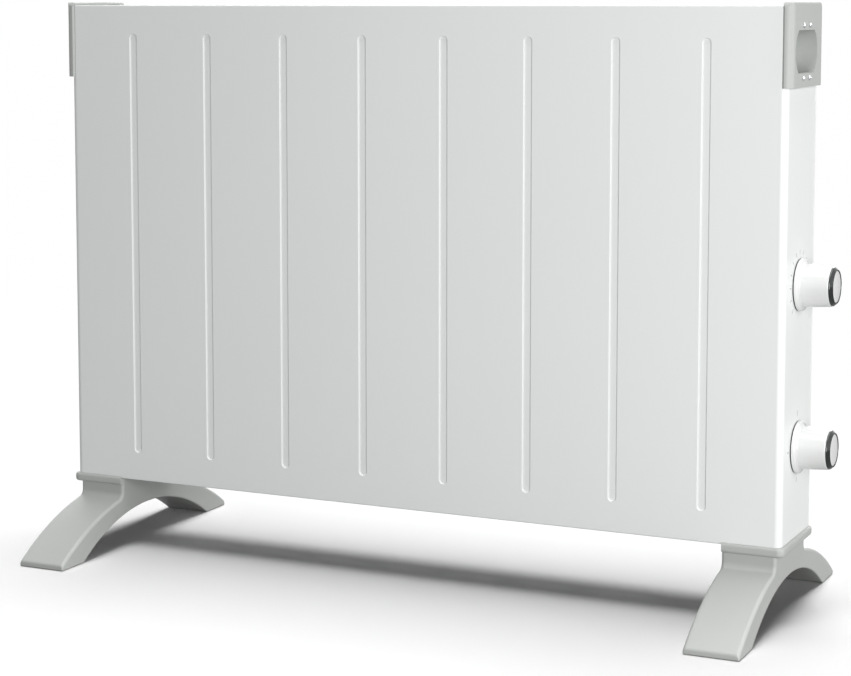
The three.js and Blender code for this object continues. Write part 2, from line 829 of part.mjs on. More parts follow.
// A four-winged aluminium section with a stud out of each end.
function makeElement(y) {
  const tip = elementWing;
  const half = elementWingThickness / Math.SQRT2;
  const outline = outlineOf([
    [half, 0], [tip, tip - half], [tip - half, tip], [0, half],
    [-tip + half, tip], [-tip, tip - half], [-half, 0],
    [-tip, -tip + half], [-tip + half, -tip], [0, -half],
    [tip - half, -tip], [tip, -tip + half],
  ].map(([a, b]) => [y + a, elementZ + b]));
  const wings = alongX(outline, elementLeft, elementRight);
  const sheath = rod('x', elementRodRadius, elementLeft, elementRight, [y, elementZ]);
  const stud = rod('x', studRadius, studLeft, studRight, [y, elementZ], smallSides);
  return joinAll([wings, sheath, stud]);
}

// A ceramic bush whose collar lies on the warm side of its sheet; `inward` points there.
function makeInsulator(wallFace, inward, y) {
  const collar = wallFace + inward * fit;
  const inner = collar + inward * collarLength;
  const outer = wallFace - inward * (insulatorLength - collarLength);
  const centre = [y, elementZ];
  const range = (a, b) => [Math.min(a, b), Math.max(a, b)];
  const wide = rod('x', insulatorCollar, ...range(collar, inner), centre);
  const narrow = rod('x', insulatorRadius, ...range(inner, outer), centre);
  const bore = rod('x', studRadius + fit, ...range(inner + inward, outer - inward), centre, smallSides);
  return wide.add(narrow).subtract(bore);
}

function makeShield() {
  const x0 = bracketFace + bracketFoot + fit;
  const x1 = partitionX - sheet - fit;
  const y = -halfDepth + sheet + fit + shieldBehindFront;
  const z0 = floorTop + fit;
  const z1 = z0 + shieldHeight;
  return joinAll([
    block(x0, x1, y, y + sheet, z0, z1),
    block(x0, x1, y - shieldFlange, y + sheet, z0, z0 + sheet),
    block(x0, x1, y - shieldFlange, y + shieldHood, z1 - sheet, z1),
  ]);
}

const cutoutFace = partitionX + fit + cutoutPlate;
const cutoutTabX = cutoutFace + terminalTab.length;
const cutoutTabY = terminalTab.width / 2 + cutoutTabGap;

function makeCutout() {
  const centre = [0, cutoutZ];
  const root = cutoutFace - cutoutPlate / 2;
  return joinAll([
    rod('x', cutoutCollar, cutoutFace - cutoutPlate, cutoutFace, centre),
    rod('x', cutoutRadius, cutoutFace - cutoutDepth, root, centre),
    tabBlock(root, cutoutTabX, -cutoutTabY, cutoutZ),
    tabBlock(root, cutoutTabX, cutoutTabY, cutoutZ),
  ]);
}

const blockX = partitionX + bracketFoot + blockGap;

function makeTerminalBlock() {
  const half = blockSize.width / 2;
  return block(blockX, blockX + blockSize.length, -half, half, floorTop + fit, blockTop);
}

const blockTop = floorTop + fit + blockSize.height;
const poleX = (pole) => blockX + (blockSize.length * (pole + 0.5)) / 3;

function makeGland() {
  const inner = halfDepth - sheet - fit;
  const outer = halfDepth + fit;
  const inEnd = inner - glandFlangeThickness;
  const outEnd = outer + glandFlangeThickness;
  const sides = roundSides / 2;
  const barrel = rod('y', glandRadius, inEnd, outEnd, glandPlace, sides);
  const flange = rod('y', glandFlange, outer, outEnd, glandPlace, sides);
  const snap = rod('y', glandRadius + glandSnap, inEnd, inner, glandPlace, sides);
  const bore = rod('y', glandBore, inEnd - sheet, outEnd + sheet, glandPlace, sides);
  return joinAll([barrel, flange, snap]).subtract(bore);
}

const earthX = halfWidth - earthScrewInset;
const earthY = -halfDepth + returnFlange + earthScrewBehindFlange;
const earthSeat = floorTop + fit;
const earthTop = earthSeat + earthScrew.length;

function makeEarthScrew() {
  const centre = [earthX, earthY];
  const head = rod('z', earthScrew.head, earthSeat, earthSeat + earthScrew.headHeight, centre, 6);
  return head.add(rod('z', earthScrew.shank, earthSeat, earthTop, centre, smallSides));
}

// ---- Leads ----
// A round lead along a smooth curve through chosen points.
function makeLead(points) {
  const curve = new THREE.CatmullRomCurve3(
    points.map(([x, y, z]) => new THREE.Vector3(x, y, z)), false, 'centripetal',
  );
  const ring = new THREE.Shape();
  ring.absarc(0, 0, leadRadius, 0, 2 * Math.PI, false);
  const steps = leadSteps * (points.length - 1);
  const options = { steps, extrudePath: curve, curveSegments: arcSteps, bevelEnabled: false };
  return new THREE.ExtrudeGeometry(ring, options);
}

// Each lead's route starts and ends `fit` away from what it is fixed to.
function leadRoutes() {
  const tab = ([y, z]) => [tabEndX - fit, y, z];
  const [live, , , feed] = tabPlaces(thermostatZ).map(tab);
  const [, common, frontOut, rearOut] = tabPlaces(powerZ).map(tab);
  const away = ([x, y, z], by) => [x - by, y, z];
  const half = elementSpread / 2;
  const right = studRight + fit;
  const left = studLeft - fit;
  const pair = leadRadius + leadPairGap;
  const turnX = (frontOut[0] + right) / 2;
  const wallX = partitionX + bracketFoot;
  const clamp = blockTop + fit;
  const inTab = cutoutTabX + fit;
  const side = leadRadius * 2;
  return {
    live_lead: [
      [poleX(0), 0, clamp],
      [poleX(0) - 1, 0, clamp + leadStub],
      [wallX, 0, clamp + leadDrop],
      [wallX, 0, cutoutZ - leadDrop],
      [wallX + leadStub, cutoutTabY, cutoutZ - side],
      [inTab + leadStub, cutoutTabY, cutoutZ],
      [inTab, cutoutTabY, cutoutZ],
    ],
    cutout_lead: [
      [inTab, -cutoutTabY, cutoutZ],
      [inTab + leadStub, -cutoutTabY, cutoutZ + leadRadius],
      [inTab + leadStub, -cutoutTabY - side, cutoutZ + leadDrop],
      away(live, 2 * leadStub),
      away(live, leadStub),
      live,
    ],
    thermostat_lead: [
      feed,
      away(feed, leadStub),
      [feed[0] - leadBow, feed[1] + side, feed[2] - leadDrop],
      [common[0] - leadBow, common[1] + side, common[2] + leadDrop],
      away(common, leadStub),
      common,
    ],
    front_element_lead: [
      frontOut,
      away(frontOut, leadStub),
      [turnX, -half + side, elementZ - side],
      [right + leadStub, -half, elementZ],
      [right, -half, elementZ],
    ],
    rear_element_lead: [
      rearOut,
      away(rearOut, leadStub),
      [turnX, half - side, elementZ - side],
      [right + leadStub, half, elementZ],
      [right, half, elementZ],
    ],
    element_link_lead: [
      [left, -half, elementZ],
      [left - leadStub, -half, elementZ],
      [left - leadBow, -half / 2, elementZ + side],
      [left - leadBow, half / 2, elementZ + side],
      [left - leadStub, half - pair, elementZ],
      [left, half - pair, elementZ],
    ],
    neutral_lead: [
      [left, half + pair, elementZ],
      [left - leadStub, half + pair, elementZ],
      [left - leadBow, half + 2 * pair, elementZ - leadBow],
      [left - leadBow, rearHoleY - side, elementZ - leadDrop],
      [bracketX - leadBow, rearHoleY, neutralZ],
      [bracketFace + leadBow, rearHoleY, neutralZ],
      [0, rearHoleY, neutralZ],
      [partitionX - leadBow, rearHoleY, neutralZ],
      [partitionX + leadBow, rearHoleY, neutralZ],
      [poleX(0) - side, blockSize.width, clamp + side],
      [poleX(1) - side, blockSize.width / 2, clamp + leadBow],
      [poleX(1), 1, clamp + leadStub],
      [poleX(1), 0, clamp],
    ],
    earth_lead: [
      [poleX(2), 0, clamp],
      [poleX(2), -1, clamp + leadStub],
      [poleX(2) + side, -leadBow, clamp + leadStub],
      [earthX, earthY + leadStub, earthTop + leadBow],
      [earthX, earthY, earthTop + leadStub],
      [earthX, earthY, earthTop + fit],
    ],
  };
}

// ---- Assembly ----
const heater = new THREE.Group();

function place(name, geometry, finish) {
  const mesh = new THREE.Mesh(geometry, new THREE.MeshStandardMaterial(finish));
  mesh.name = name;
  heater.add(mesh);
}

function placeSolid(name, body, finish) {
  place(name, geometryOf(body), finish);
}

placeSolid('front_shell', makeFrontShell(), whiteSheet);
placeSolid('back_panel', makeBackPanel(), whiteSheet);
placeSolid('top_grille', makeTopGrille(), whiteSheet);
placeSolid('base_plate', makeBasePlate(), whiteSheet);

const handle = makeHandle();
placeSolid('right_corner_handle', handle, greyPlastic);
place('left_corner_handle', mirrored(handle), greyPlastic);
handleScrewPlaces().forEach((centre, i) => {
  const body = screw(handleScrew, 'x', -1, halfWidth + handleProud + fit, centre);
  placeSolid(`right_handle_screw_${i + 1}`, body, zincSteel);
  place(`left_handle_screw_${i + 1}`, mirrored(body), zincSteel);
});

const foot = makeFoot();
placeSolid('right_foot', foot, greyPlastic);
place('left_foot', mirrored(foot), greyPlastic);
footScrewPlaces.forEach((y, i) => {
  const body = screw(footScrew, 'z', 1, caseBottom - footScrewSeat - fit, [footMiddle, y]);
  placeSolid(`right_foot_screw_${i + 1}`, body, zincSteel);
  place(`left_foot_screw_${i + 1}`, mirrored(body), zincSteel);
});
screwPlaces().forEach((centre, i) => {
  placeSolid(`back_screw_${i + 1}`, screw(backScrew, 'y', -1, halfDepth + fit, centre), zincSteel);
});

for (const [name, z] of [['thermostat', thermostatZ], ['power', powerZ]]) {
  placeSolid(`${name}_knob`, makeKnob(z), whitePlastic);
  placeSolid(`${name}_knob_ring`, makeRing(z), chromePlate);
  placeSolid(`${name}_knob_cap`, makeCap(z), whitePlastic);
  placeSolid(`${name}_spindle`, makeSpindle(z), zincSteel);
  placeSolid(`${name}_nut`, makeNut(z), zincSteel);
}
placeSolid('thermostat_body', makeControl(thermostatZ), ceramic);
placeSolid('power_switch_body', makeControl(powerZ), blackPlastic);

placeSolid('control_partition', makePartition(), zincSteel);
placeSolid('element_bracket', makeBracket(), zincSteel);
['front', 'rear'].forEach((name, i) => {
  const y = elementPlaces[i];
  placeSolid(`${name}_element`, makeElement(y), aluminium);
  placeSolid(`${name}_insulator_left`, makeInsulator(bracketFace, 1, y), ceramic);
  placeSolid(`${name}_insulator_right`, makeInsulator(partitionX - sheet, -1, y), ceramic);
});
placeSolid('front_heat_shield', makeShield(), zincSteel);
placeSolid('thermal_cutout', makeCutout(), ceramic);
placeSolid('terminal_block', makeTerminalBlock(), blackPlastic);
placeSolid('cord_gland', makeGland(), greyPlastic);
placeSolid('earth_screw', makeEarthScrew(), zincSteel);

const leadFinish = { neutral_lead: blueLead, element_link_lead: blueLead, earth_lead: greenLead };
for (const [name, points] of Object.entries(leadRoutes())) {
  place(name, makeLead(points), leadFinish[name] ?? brownLead);
}

heater.position.x = (handleProud + fit + handleScrew.headHeight - knobReach) / 2;
const group = new THREE.Group();
group.add(heater);

export default group;
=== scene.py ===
"""A free-standing panel convector heater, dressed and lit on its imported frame.

Lengths in the classes are millimetres in the case's own axes: X runs from the middle of the case to the
dial side, Y from the middle of its depth to the back, and Z up from the floor. A finished piece is moved
to the frame's origin and scaled to metres.
"""

import json
import logging
import math
from collections.abc import Callable, Sequence
from dataclasses import dataclass, field
from enum import Enum

import bmesh
import bpy
from mathutils import Matrix, Vector


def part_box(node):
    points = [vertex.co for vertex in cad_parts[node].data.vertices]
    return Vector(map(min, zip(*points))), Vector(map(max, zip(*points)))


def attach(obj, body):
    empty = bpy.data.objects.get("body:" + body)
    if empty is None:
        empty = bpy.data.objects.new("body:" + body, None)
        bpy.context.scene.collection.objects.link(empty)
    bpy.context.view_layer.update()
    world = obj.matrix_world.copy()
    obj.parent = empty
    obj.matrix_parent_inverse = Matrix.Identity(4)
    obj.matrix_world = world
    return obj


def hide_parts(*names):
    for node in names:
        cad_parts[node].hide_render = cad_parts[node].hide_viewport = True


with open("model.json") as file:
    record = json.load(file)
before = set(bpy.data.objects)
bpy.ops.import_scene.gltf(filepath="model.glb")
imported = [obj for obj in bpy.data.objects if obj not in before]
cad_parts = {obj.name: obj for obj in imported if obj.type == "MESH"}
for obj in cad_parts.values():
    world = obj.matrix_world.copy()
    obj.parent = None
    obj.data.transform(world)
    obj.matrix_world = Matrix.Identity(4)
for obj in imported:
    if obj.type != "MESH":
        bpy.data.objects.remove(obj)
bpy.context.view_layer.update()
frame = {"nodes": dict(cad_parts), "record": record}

log = logging.getLogger("heater")

MM = 0.001
# In millimetres: how near counts as touching, how near points merge, how far a cutter runs past a face.
TOUCHING = 1e-3
MERGED = 1e-4
PAST = 1.0
# How straight an edge runs along an axis, and the angle from which an edge is shaded hard.
STRAIGHT = 0.999
SHARP = math.radians(32)
VECTOR = "NodeSocketVector"
VALUE = "NodeSocketFloat"
ROOT = "heater"

Pair = tuple[float, float]
Triple = tuple[float, float, float]
EdgeTest = Callable[[bmesh.types.BMEdge], bool]


# ---------------------------------------------------------------------------
# Choices
# ---------------------------------------------------------------------------
class Axis(Enum):
    """An axis of the case."""

    X = 0
    Y = 1
    Z = 2

    def place(self, along: float, across: Pair) -> Vector:
        """Returns the point at `along` on this axis and `across` on the other two, in X, Y, Z order."""
        values = list(across)
        values.insert(self.value, along)
        return Vector(values)

    def way(self, length: float) -> Vector:
        """Returns a move of a length along this axis."""
        return self.place(length, (0.0, 0.0))

    def turn(self) -> Matrix:
        """Returns the rotation that lays +Z along this axis."""
        if self is Axis.X:
            return Matrix.Rotation(math.pi / 2, 3, "Y")
        if self is Axis.Y:
            return Matrix.Rotation(-math.pi / 2, 3, "X")
        return Matrix.Identity(3)


class Action(Enum):
    """What a second solid does to the first one."""

    CUT = "DIFFERENCE"
    JOIN = "UNION"
    KEEP_COMMON = "INTERSECT"


class Side(Enum):
    """An end of the case."""

    LEFT = -1
    RIGHT = 1

    @property
    def word(self) -> str:
        """The side's name in piece names."""
        return self.name.lower()


class Texture(Enum):
    """The fine relief of a finish."""

    ORANGE_PEEL = "orange peel of baked powder"
    SPARKED = "spark-eroded mould"
    POLISHED = "polished mould or plating"
    BRUSHED = "drawn or brushed metal"
    BAKED = "fired ceramic"


# ---------------------------------------------------------------------------
# Shader groups
# ---------------------------------------------------------------------------
class ShaderGroup:
    """A node group that is built once and then placed in each material that uses it."""

    name = "group"
    inputs: tuple[tuple[str, str, float], ...] = ()
    outputs: tuple[tuple[str, str], ...] = ()

    def tree(self) -> bpy.types.NodeTree:
        """Returns the group's node tree, made at its first use."""
        made = bpy.data.node_groups.get(self.name)
        if made is not None:
            return made
        made = bpy.data.node_groups.new(self.name, "ShaderNodeTree")
        for label, kind, value in self.inputs:
            socket = made.interface.new_socket(label, in_out="INPUT", socket_type=kind)
            if kind == VALUE:
                socket.default_value = value
        for label, kind in self.outputs:
            made.interface.new_socket(label, in_out="OUTPUT", socket_type=kind)
        start = made.nodes.new("NodeGroupInput")
        end = made.nodes.new("NodeGroupOutput")
        self.wire(made, start, end)
        return made

    def wire(self, tree: bpy.types.NodeTree, start: bpy.types.Node, end: bpy.types.Node) -> None:
        """Fills the tree between its input and output nodes."""
        raise NotImplementedError

    @staticmethod
    def sum_node(tree: bpy.types.NodeTree, operation: str, clamp: bool = False) -> bpy.types.Node:
        """Returns a new arithmetic node."""
        node = tree.nodes.new("ShaderNodeMath")
        node.operation = operation
        node.use_clamp = clamp
        return node

    def place(self, nodes: bpy.types.Nodes) -> bpy.types.Node:
        """Returns a new node of this group in a material's tree."""
        node = nodes.new("ShaderNodeGroup")
        node.node_tree = self.tree()
        return node


class FineRelief(ShaderGroup):
    """Fine relief at a given grain size, from two layers of noise."""

    name = "fine_relief"
    inputs = (("Vector", VECTOR, 0), ("Scale", VALUE, 800.0), ("Detail", VALUE, 2.0))
    outputs = (("Height", VALUE), ("Mask", VALUE))
    cell_share = 0.6

    def wire(self, tree: bpy.types.NodeTree, start: bpy.types.Node, end: bpy.types.Node) -> None:
        """Wires a soft noise and a cell pattern into one height."""
        noise = tree.nodes.new("ShaderNodeTexNoise")
        cells = tree.nodes.new("ShaderNodeTexVoronoi")
        cells.feature = "SMOOTH_F1"
        mix = self.sum_node(tree, "MULTIPLY_ADD")
        mix.inputs[1].default_value = self.cell_share
        link = tree.links.new
        for texture in (noise, cells):
            link(start.outputs["Vector"], texture.inputs["Vector"])
            link(start.outputs["Scale"], texture.inputs["Scale"])
        link(start.outputs["Detail"], noise.inputs["Detail"])
        link(cells.outputs["Distance"], mix.inputs[0])
        link(noise.outputs["Fac"], mix.inputs[2])
        link(mix.outputs[0], end.inputs["Height"])
        link(noise.outputs["Fac"], end.inputs["Mask"])


class BroadDrift(ShaderGroup):
    """Slow change over a surface, as handling, dust and uneven coating give it."""

    name = "broad_drift"
    inputs = (("Vector", VECTOR, 0), ("Scale", VALUE, 8.0), ("Contrast", VALUE, 1.0))
    outputs = (("Factor", VALUE),)
    middle = 0.5

    def wire(self, tree: bpy.types.NodeTree, start: bpy.types.Node, end: bpy.types.Node) -> None:
        """Wires two octaves of wide noise and stretches them to the contrast."""
        noise = tree.nodes.new("ShaderNodeTexNoise")
        noise.inputs["Detail"].default_value = 4.0
        noise.inputs["Roughness"].default_value = 0.55
        centre = self.sum_node(tree, "SUBTRACT")
        centre.inputs[1].default_value = self.middle
        gain = self.sum_node(tree, "MULTIPLY_ADD", clamp=True)
        gain.inputs[2].default_value = self.middle
        link = tree.links.new
        link(start.outputs["Vector"], noise.inputs["Vector"])
        link(start.outputs["Scale"], noise.inputs["Scale"])
        link(noise.outputs["Fac"], centre.inputs[0])
        link(centre.outputs[0], gain.inputs[0])
        link(start.outputs["Contrast"], gain.inputs[1])
        link(gain.outputs[0], end.inputs["Factor"])


class EdgeWear(ShaderGroup):
    """Marks the edges of a piece, where it rubs and its coating thins."""

    name = "edge_wear"
    inputs = (("Vector", VECTOR, 0), ("Radius", VALUE, 0.0008), ("Strength", VALUE, 1.0))
    outputs = (("Mask", VALUE),)
    patch_scale = 140.0

    def wire(self, tree: bpy.types.NodeTree, start: bpy.types.Node, end: bpy.types.Node) -> None:
        """Compares the rounded normal with the true one and breaks the result up with noise."""
        rounded = tree.nodes.new("ShaderNodeBevel")
        rounded.samples = 4
        true = tree.nodes.new("ShaderNodeNewGeometry")
        dot = tree.nodes.new("ShaderNodeVectorMath")
        dot.operation = "DOT_PRODUCT"
        away = self.sum_node(tree, "SUBTRACT")
        away.inputs[0].default_value = 1.0
        patches = tree.nodes.new("ShaderNodeTexNoise")
        patches.inputs["Scale"].default_value = self.patch_scale
        broken = self.sum_node(tree, "MULTIPLY")
        strong = self.sum_node(tree, "MULTIPLY", clamp=True)
        link = tree.links.new
        link(start.outputs["Radius"], rounded.inputs["Radius"])
        link(rounded.outputs["Normal"], dot.inputs[0])
        link(true.outputs["Normal"], dot.inputs[1])
        link(dot.outputs["Value"], away.inputs[1])
        link(start.outputs["Vector"], patches.inputs["Vector"])
        link(away.outputs[0], broken.inputs[0])
        link(patches.outputs["Fac"], broken.inputs[1])
        link(broken.outputs[0], strong.inputs[0])
        link(start.outputs["Strength"], strong.inputs[1])
        link(strong.outputs[0], end.inputs["Mask"])


class DrawnLines(ShaderGroup):
    """Fine lines along X, as rolling, drawing and brushing leave them."""

    name = "drawn_lines"
    inputs = (("Vector", VECTOR, 0), ("Scale", VALUE, 300.0))
    outputs = (("Height", VALUE), ("Mask", VALUE))
    stretch = 0.02

    def wire(self, tree: bpy.types.NodeTree, start: bpy.types.Node, end: bpy.types.Node) -> None:
        """Stretches a noise along X."""
        stretch = tree.nodes.new("ShaderNodeMapping")
        stretch.inputs["Scale"].default_value = (self.stretch, 1.0, 1.0)
        noise = tree.nodes.new("ShaderNodeTexNoise")
        noise.inputs["Detail"].default_value = 3.0
        link = tree.links.new
        link(start.outputs["Vector"], stretch.inputs["Vector"])
        link(stretch.outputs["Vector"], noise.inputs["Vector"])
        link(start.outputs["Scale"], noise.inputs["Scale"])
        link(noise.outputs["Fac"], end.inputs["Height"])
        link(noise.outputs["Fac"], end.inputs["Mask"])


# ---------------------------------------------------------------------------
# Finishes
# ---------------------------------------------------------------------------
@dataclass(frozen=True)
class Finish:
    """One finish of the heater: its colours, gloss and fine relief.

    Lengths are metres. `tint` is the colour that the slow drift moves towards, and `edge` the colour of
    rubbed edges.
    """

    slot: str
    color: Triple
    tint: Triple
    edge: Triple
    roughness: float
    spread: float = 0.05
    metallic: float = 0.0
    coat: float = 0.0
    coat_roughness: float = 0.1
    texture: Texture = Texture.SPARKED
    grain: float = 900.0
    relief: float = 0.00002
    relief_strength: float = 0.35
    drift_scale: float = 7.0
    drift: float = 1.2
    wear: float = 1.2
    wear_radius: float = 0.0008
    stripe: Triple | None = None
    stripe_scale: float = 90.0
    stripe_wander: float = 1.5
    spark_detail: float = 5.0
    mask_range: Pair = (0.3, 0.7)
    least_roughness: float = 0.02

    def material(self) -> bpy.types.Material:
        """Returns the finish's material, made at its first use."""
        name = f"{self.slot}_finish"
        made = bpy.data.materials.get(name)
        if made is not None:
            return made
        made = bpy.data.materials.new(name)
        made.use_nodes = True
        nodes = made.node_tree.nodes
        link = made.node_tree.links.new
        shader = nodes["Principled BSDF"]
        shader.inputs["Metallic"].default_value = self.metallic
        shader.inputs["Coat Weight"].default_value = self.coat
        shader.inputs["Coat Roughness"].default_value = self.coat_roughness
        where = nodes.new("ShaderNodeTexCoord").outputs["Object"]
        height, mask = self.relief_sockets(nodes, link, where)
        link(self.color_socket(nodes, link, where), shader.inputs["Base Color"])
        rough = nodes.new("ShaderNodeMapRange")
        rough.inputs["From Min"].default_value, rough.inputs["From Max"].default_value = self.mask_range
        rough.inputs["To Min"].default_value = max(self.roughness - self.spread, self.least_roughness)
        rough.inputs["To Max"].default_value = self.roughness + self.spread
        link(mask, rough.inputs["Value"])
        link(rough.outputs["Result"], shader.inputs["Roughness"])
        bump = nodes.new("ShaderNodeBump")
        bump.inputs["Strength"].default_value = self.relief_strength
        bump.inputs["Distance"].default_value = self.relief
        link(height, bump.inputs["Height"])
        link(bump.outputs["Normal"], shader.inputs["Normal"])
        return made

    def relief_sockets(
        self, nodes: bpy.types.Nodes, link: Callable, where: bpy.types.NodeSocket
    ) -> tuple[bpy.types.NodeSocket, bpy.types.NodeSocket]:
        """Places the relief group that the texture asks for.

        Args:
            nodes: the material's nodes.
            link: makes a link between two sockets.
            where: the coordinates.

        Returns:
            The height and the mask for the roughness.
        """
        group = DrawnLines() if self.texture is Texture.BRUSHED else FineRelief()
        node = group.place(nodes)
        node.inputs["Scale"].default_value = self.grain
        if self.texture is Texture.SPARKED:
            node.inputs["Detail"].default_value = self.spark_detail
        link(where, node.inputs["Vector"])
        return node.outputs["Height"], node.outputs["Mask"]

    def color_socket(
        self, nodes: bpy.types.Nodes, link: Callable, where: bpy.types.NodeSocket
    ) -> bpy.types.NodeSocket:
        """Mixes the colour with its drift, its stripe and its worn edges.

        Args:
            nodes: the material's nodes.
            link: makes a link between two sockets.
            where: the coordinates.

        Returns:
            The socket that holds the colour.
        """
        drift = BroadDrift().place(nodes)
        drift.inputs["Scale"].default_value = self.drift_scale
        drift.inputs["Contrast"].default_value = self.drift
        link(where, drift.inputs["Vector"])
        drifted = self.mixed(nodes, link, drift.outputs["Factor"], self.color, self.tint)
        if self.stripe is not None:
            wave = nodes.new("ShaderNodeTexWave")
            wave.inputs["Scale"].default_value = self.stripe_scale
            wave.inputs["Distortion"].default_value = self.stripe_wander
            link(where, wave.inputs["Vector"])
            drifted = self.mixed(nodes, link, wave.outputs["Fac"], drifted, self.stripe)
        edges = EdgeWear().place(nodes)
        edges.inputs["Radius"].default_value = self.wear_radius
        edges.inputs["Strength"].default_value = self.wear
        link(where, edges.inputs["Vector"])
        return self.mixed(nodes, link, edges.outputs["Mask"], drifted, self.edge)

    @staticmethod
    def mixed(
        nodes: bpy.types.Nodes,
        link: Callable,
        factor: bpy.types.NodeSocket,
        first: bpy.types.NodeSocket | Triple,
        second: Triple,
    ) -> bpy.types.NodeSocket:
        """Places a colour mix.

        Args:
            nodes: the material's nodes.
            link: makes a link between two sockets.
            factor: how far the mix goes to the second colour.
            first: a colour or a socket that holds one.
            second: a colour.

        Returns:
            The mixed colour's socket.
        """
        mix = nodes.new("ShaderNodeMix")
        mix.data_type = "RGBA"
        link(factor, mix.inputs["Factor"])
        start = [s for s in mix.inputs if s.name == "A" and s.type == "RGBA"][0]
        end = [s for s in mix.inputs if s.name == "B" and s.type == "RGBA"][0]
        if isinstance(first, tuple):
            start.default_value = (*first, 1.0)
        else:
            link(first, start)
        end.default_value = (*second, 1.0)
        return [s for s in mix.outputs if s.type == "RGBA"][0]


def lead_finish(
    slot: str, color: Triple, tint: Triple, edge: Triple, stripe: Triple | None = None
) -> Finish:
    """Makes the finish of an insulated lead.

    Args:
        slot: its slot in the record.
        color: its colour.
        tint: the colour that the slow drift moves towards.
        edge: the colour of rubbed edges.
        stripe: the colour of its second stripe, where it has one.

    Returns:
        The finish.
    """
    return Finish(
        slot, color, tint, edge, roughness=0.42, spread=0.06, texture=Texture.POLISHED, grain=900.0,
        relief=0.00002, drift_scale=60.0, stripe=stripe,
    )


WHITE_SHEET = Finish(
    "white_sheet", (0.79, 0.81, 0.80), (0.76, 0.78, 0.77), (0.86, 0.865, 0.86),
    roughness=0.42, spread=0.05,
    coat=0.15, coat_roughness=0.25, texture=Texture.ORANGE_PEEL, grain=700.0, relief=0.00003,
    relief_strength=0.22, drift_scale=3.0,
)
GREY_PLASTIC = Finish(
    "grey_plastic", (0.43, 0.443, 0.427), (0.405, 0.418, 0.403), (0.52, 0.53, 0.515),
    roughness=0.5, spread=0.06,
    texture=Texture.SPARKED, grain=1500.0, relief=0.00003, relief_strength=0.4, drift_scale=9.0,
)
WHITE_PLASTIC = Finish(
    "white_plastic", (0.71, 0.717, 0.71), (0.69, 0.697, 0.69), (0.75, 0.75, 0.75),
    roughness=0.22, spread=0.04,
    coat=0.3, coat_roughness=0.06, texture=Texture.POLISHED, grain=300.0, relief=0.00001,
    relief_strength=0.12, drift_scale=20.0,
)
# Chrome whose base colour is painted near black: a painted dark reflection, standing in for dark
# surroundings mirrored in the plated ring.
PAINTED_DARK_CHROME = Finish(
    "chrome_ring", (0.1, 0.105, 0.105), (0.08, 0.085, 0.085), (0.3, 0.3, 0.3),
    roughness=0.12, spread=0.03, metallic=1.0,
    texture=Texture.POLISHED, grain=500.0, relief=0.000006, relief_strength=0.15, drift_scale=30.0,
)
ZINC = Finish(
    "zinc_steel", (0.8, 0.81, 0.82), (0.72, 0.73, 0.75), (0.88, 0.88, 0.88),
    roughness=0.36, spread=0.1, metallic=1.0,
    texture=Texture.BRUSHED, grain=700.0, relief=0.00001, relief_strength=0.3, drift_scale=35.0, drift=1.8,
)
ALUMINIUM = Finish(
    "element_aluminium", (0.66, 0.67, 0.68), (0.56, 0.56, 0.57), (0.78, 0.78, 0.79),
    roughness=0.38, spread=0.08,
    metallic=1.0, texture=Texture.BRUSHED, grain=900.0, relief=0.00002, drift_scale=16.0, drift=1.6,
)
CERAMIC = Finish(
    "ceramic", (0.75, 0.71, 0.61), (0.66, 0.61, 0.5), (0.83, 0.8, 0.72),
    roughness=0.62, spread=0.08,
    texture=Texture.BAKED, grain=1100.0, relief=0.00006, relief_strength=0.5, drift_scale=45.0,
)
BLACK_PLASTIC = Finish(
    "black_plastic", (0.03, 0.03, 0.033), (0.045, 0.045, 0.047), (0.1, 0.1, 0.1),
    roughness=0.45, spread=0.07, texture=Texture.SPARKED, grain=1400.0, relief=0.00003, drift_scale=30.0,
)
BROWN_LEAD = lead_finish("brown_lead", (0.11, 0.045, 0.02), (0.14, 0.06, 0.03), (0.18, 0.09, 0.05))
BLUE_LEAD = lead_finish("blue_lead", (0.03, 0.09, 0.36), (0.04, 0.12, 0.42), (0.1, 0.2, 0.5))
GREEN_LEAD = lead_finish(
    "green_lead", (0.03, 0.25, 0.05), (0.04, 0.3, 0.06), (0.1, 0.35, 0.1), stripe=(0.75, 0.62, 0.03)
)
SCALE_INK = Finish(
    "scale_ink", (0.22, 0.23, 0.23), (0.28, 0.29, 0.29), (0.3, 0.3, 0.3),
    roughness=0.55, spread=0.05, texture=Texture.SPARKED, grain=1600.0, relief=0.00001, drift_scale=60.0,
)
FINISHES = {
    finish.slot: finish
    for finish in (
        WHITE_SHEET, GREY_PLASTIC, WHITE_PLASTIC, PAINTED_DARK_CHROME, ZINC, ALUMINIUM, CERAMIC, BLACK_PLASTIC,
        BROWN_LEAD, BLUE_LEAD, GREEN_LEAD,
    )
}


# ---------------------------------------------------------------------------
# Shapes
# ---------------------------------------------------------------------------
def along(axis: Axis) -> EdgeTest:
    """Returns a test for edges that run along an axis."""
    def test(edge: bmesh.types.BMEdge) -> bool:
        """True where the edge runs along the axis."""
        way = (edge.verts[1].co - edge.verts[0].co).normalized()
        return abs(way[axis.value]) > STRAIGHT
    return test


def at(axis: Axis, value: float) -> EdgeTest:
    """Returns a test for edges that lie in a plane across an axis."""
    def test(edge: bmesh.types.BMEdge) -> bool:
        """True where both ends lie in the plane."""
        return all(abs(vert.co[axis.value] - value) < TOUCHING for vert in edge.verts)
    return test


def all_of(*tests: EdgeTest) -> EdgeTest:
    """Returns a test that holds where every given test holds."""
    return lambda edge: all(test(edge) for test in tests)


def sharper_than(degrees: float) -> EdgeTest:
    """Returns a test for edges whose faces meet at more than an angle."""
    limit = math.radians(degrees)
    return lambda edge: len(edge.link_faces) == 2 and edge.calc_face_angle(0.0) > limit


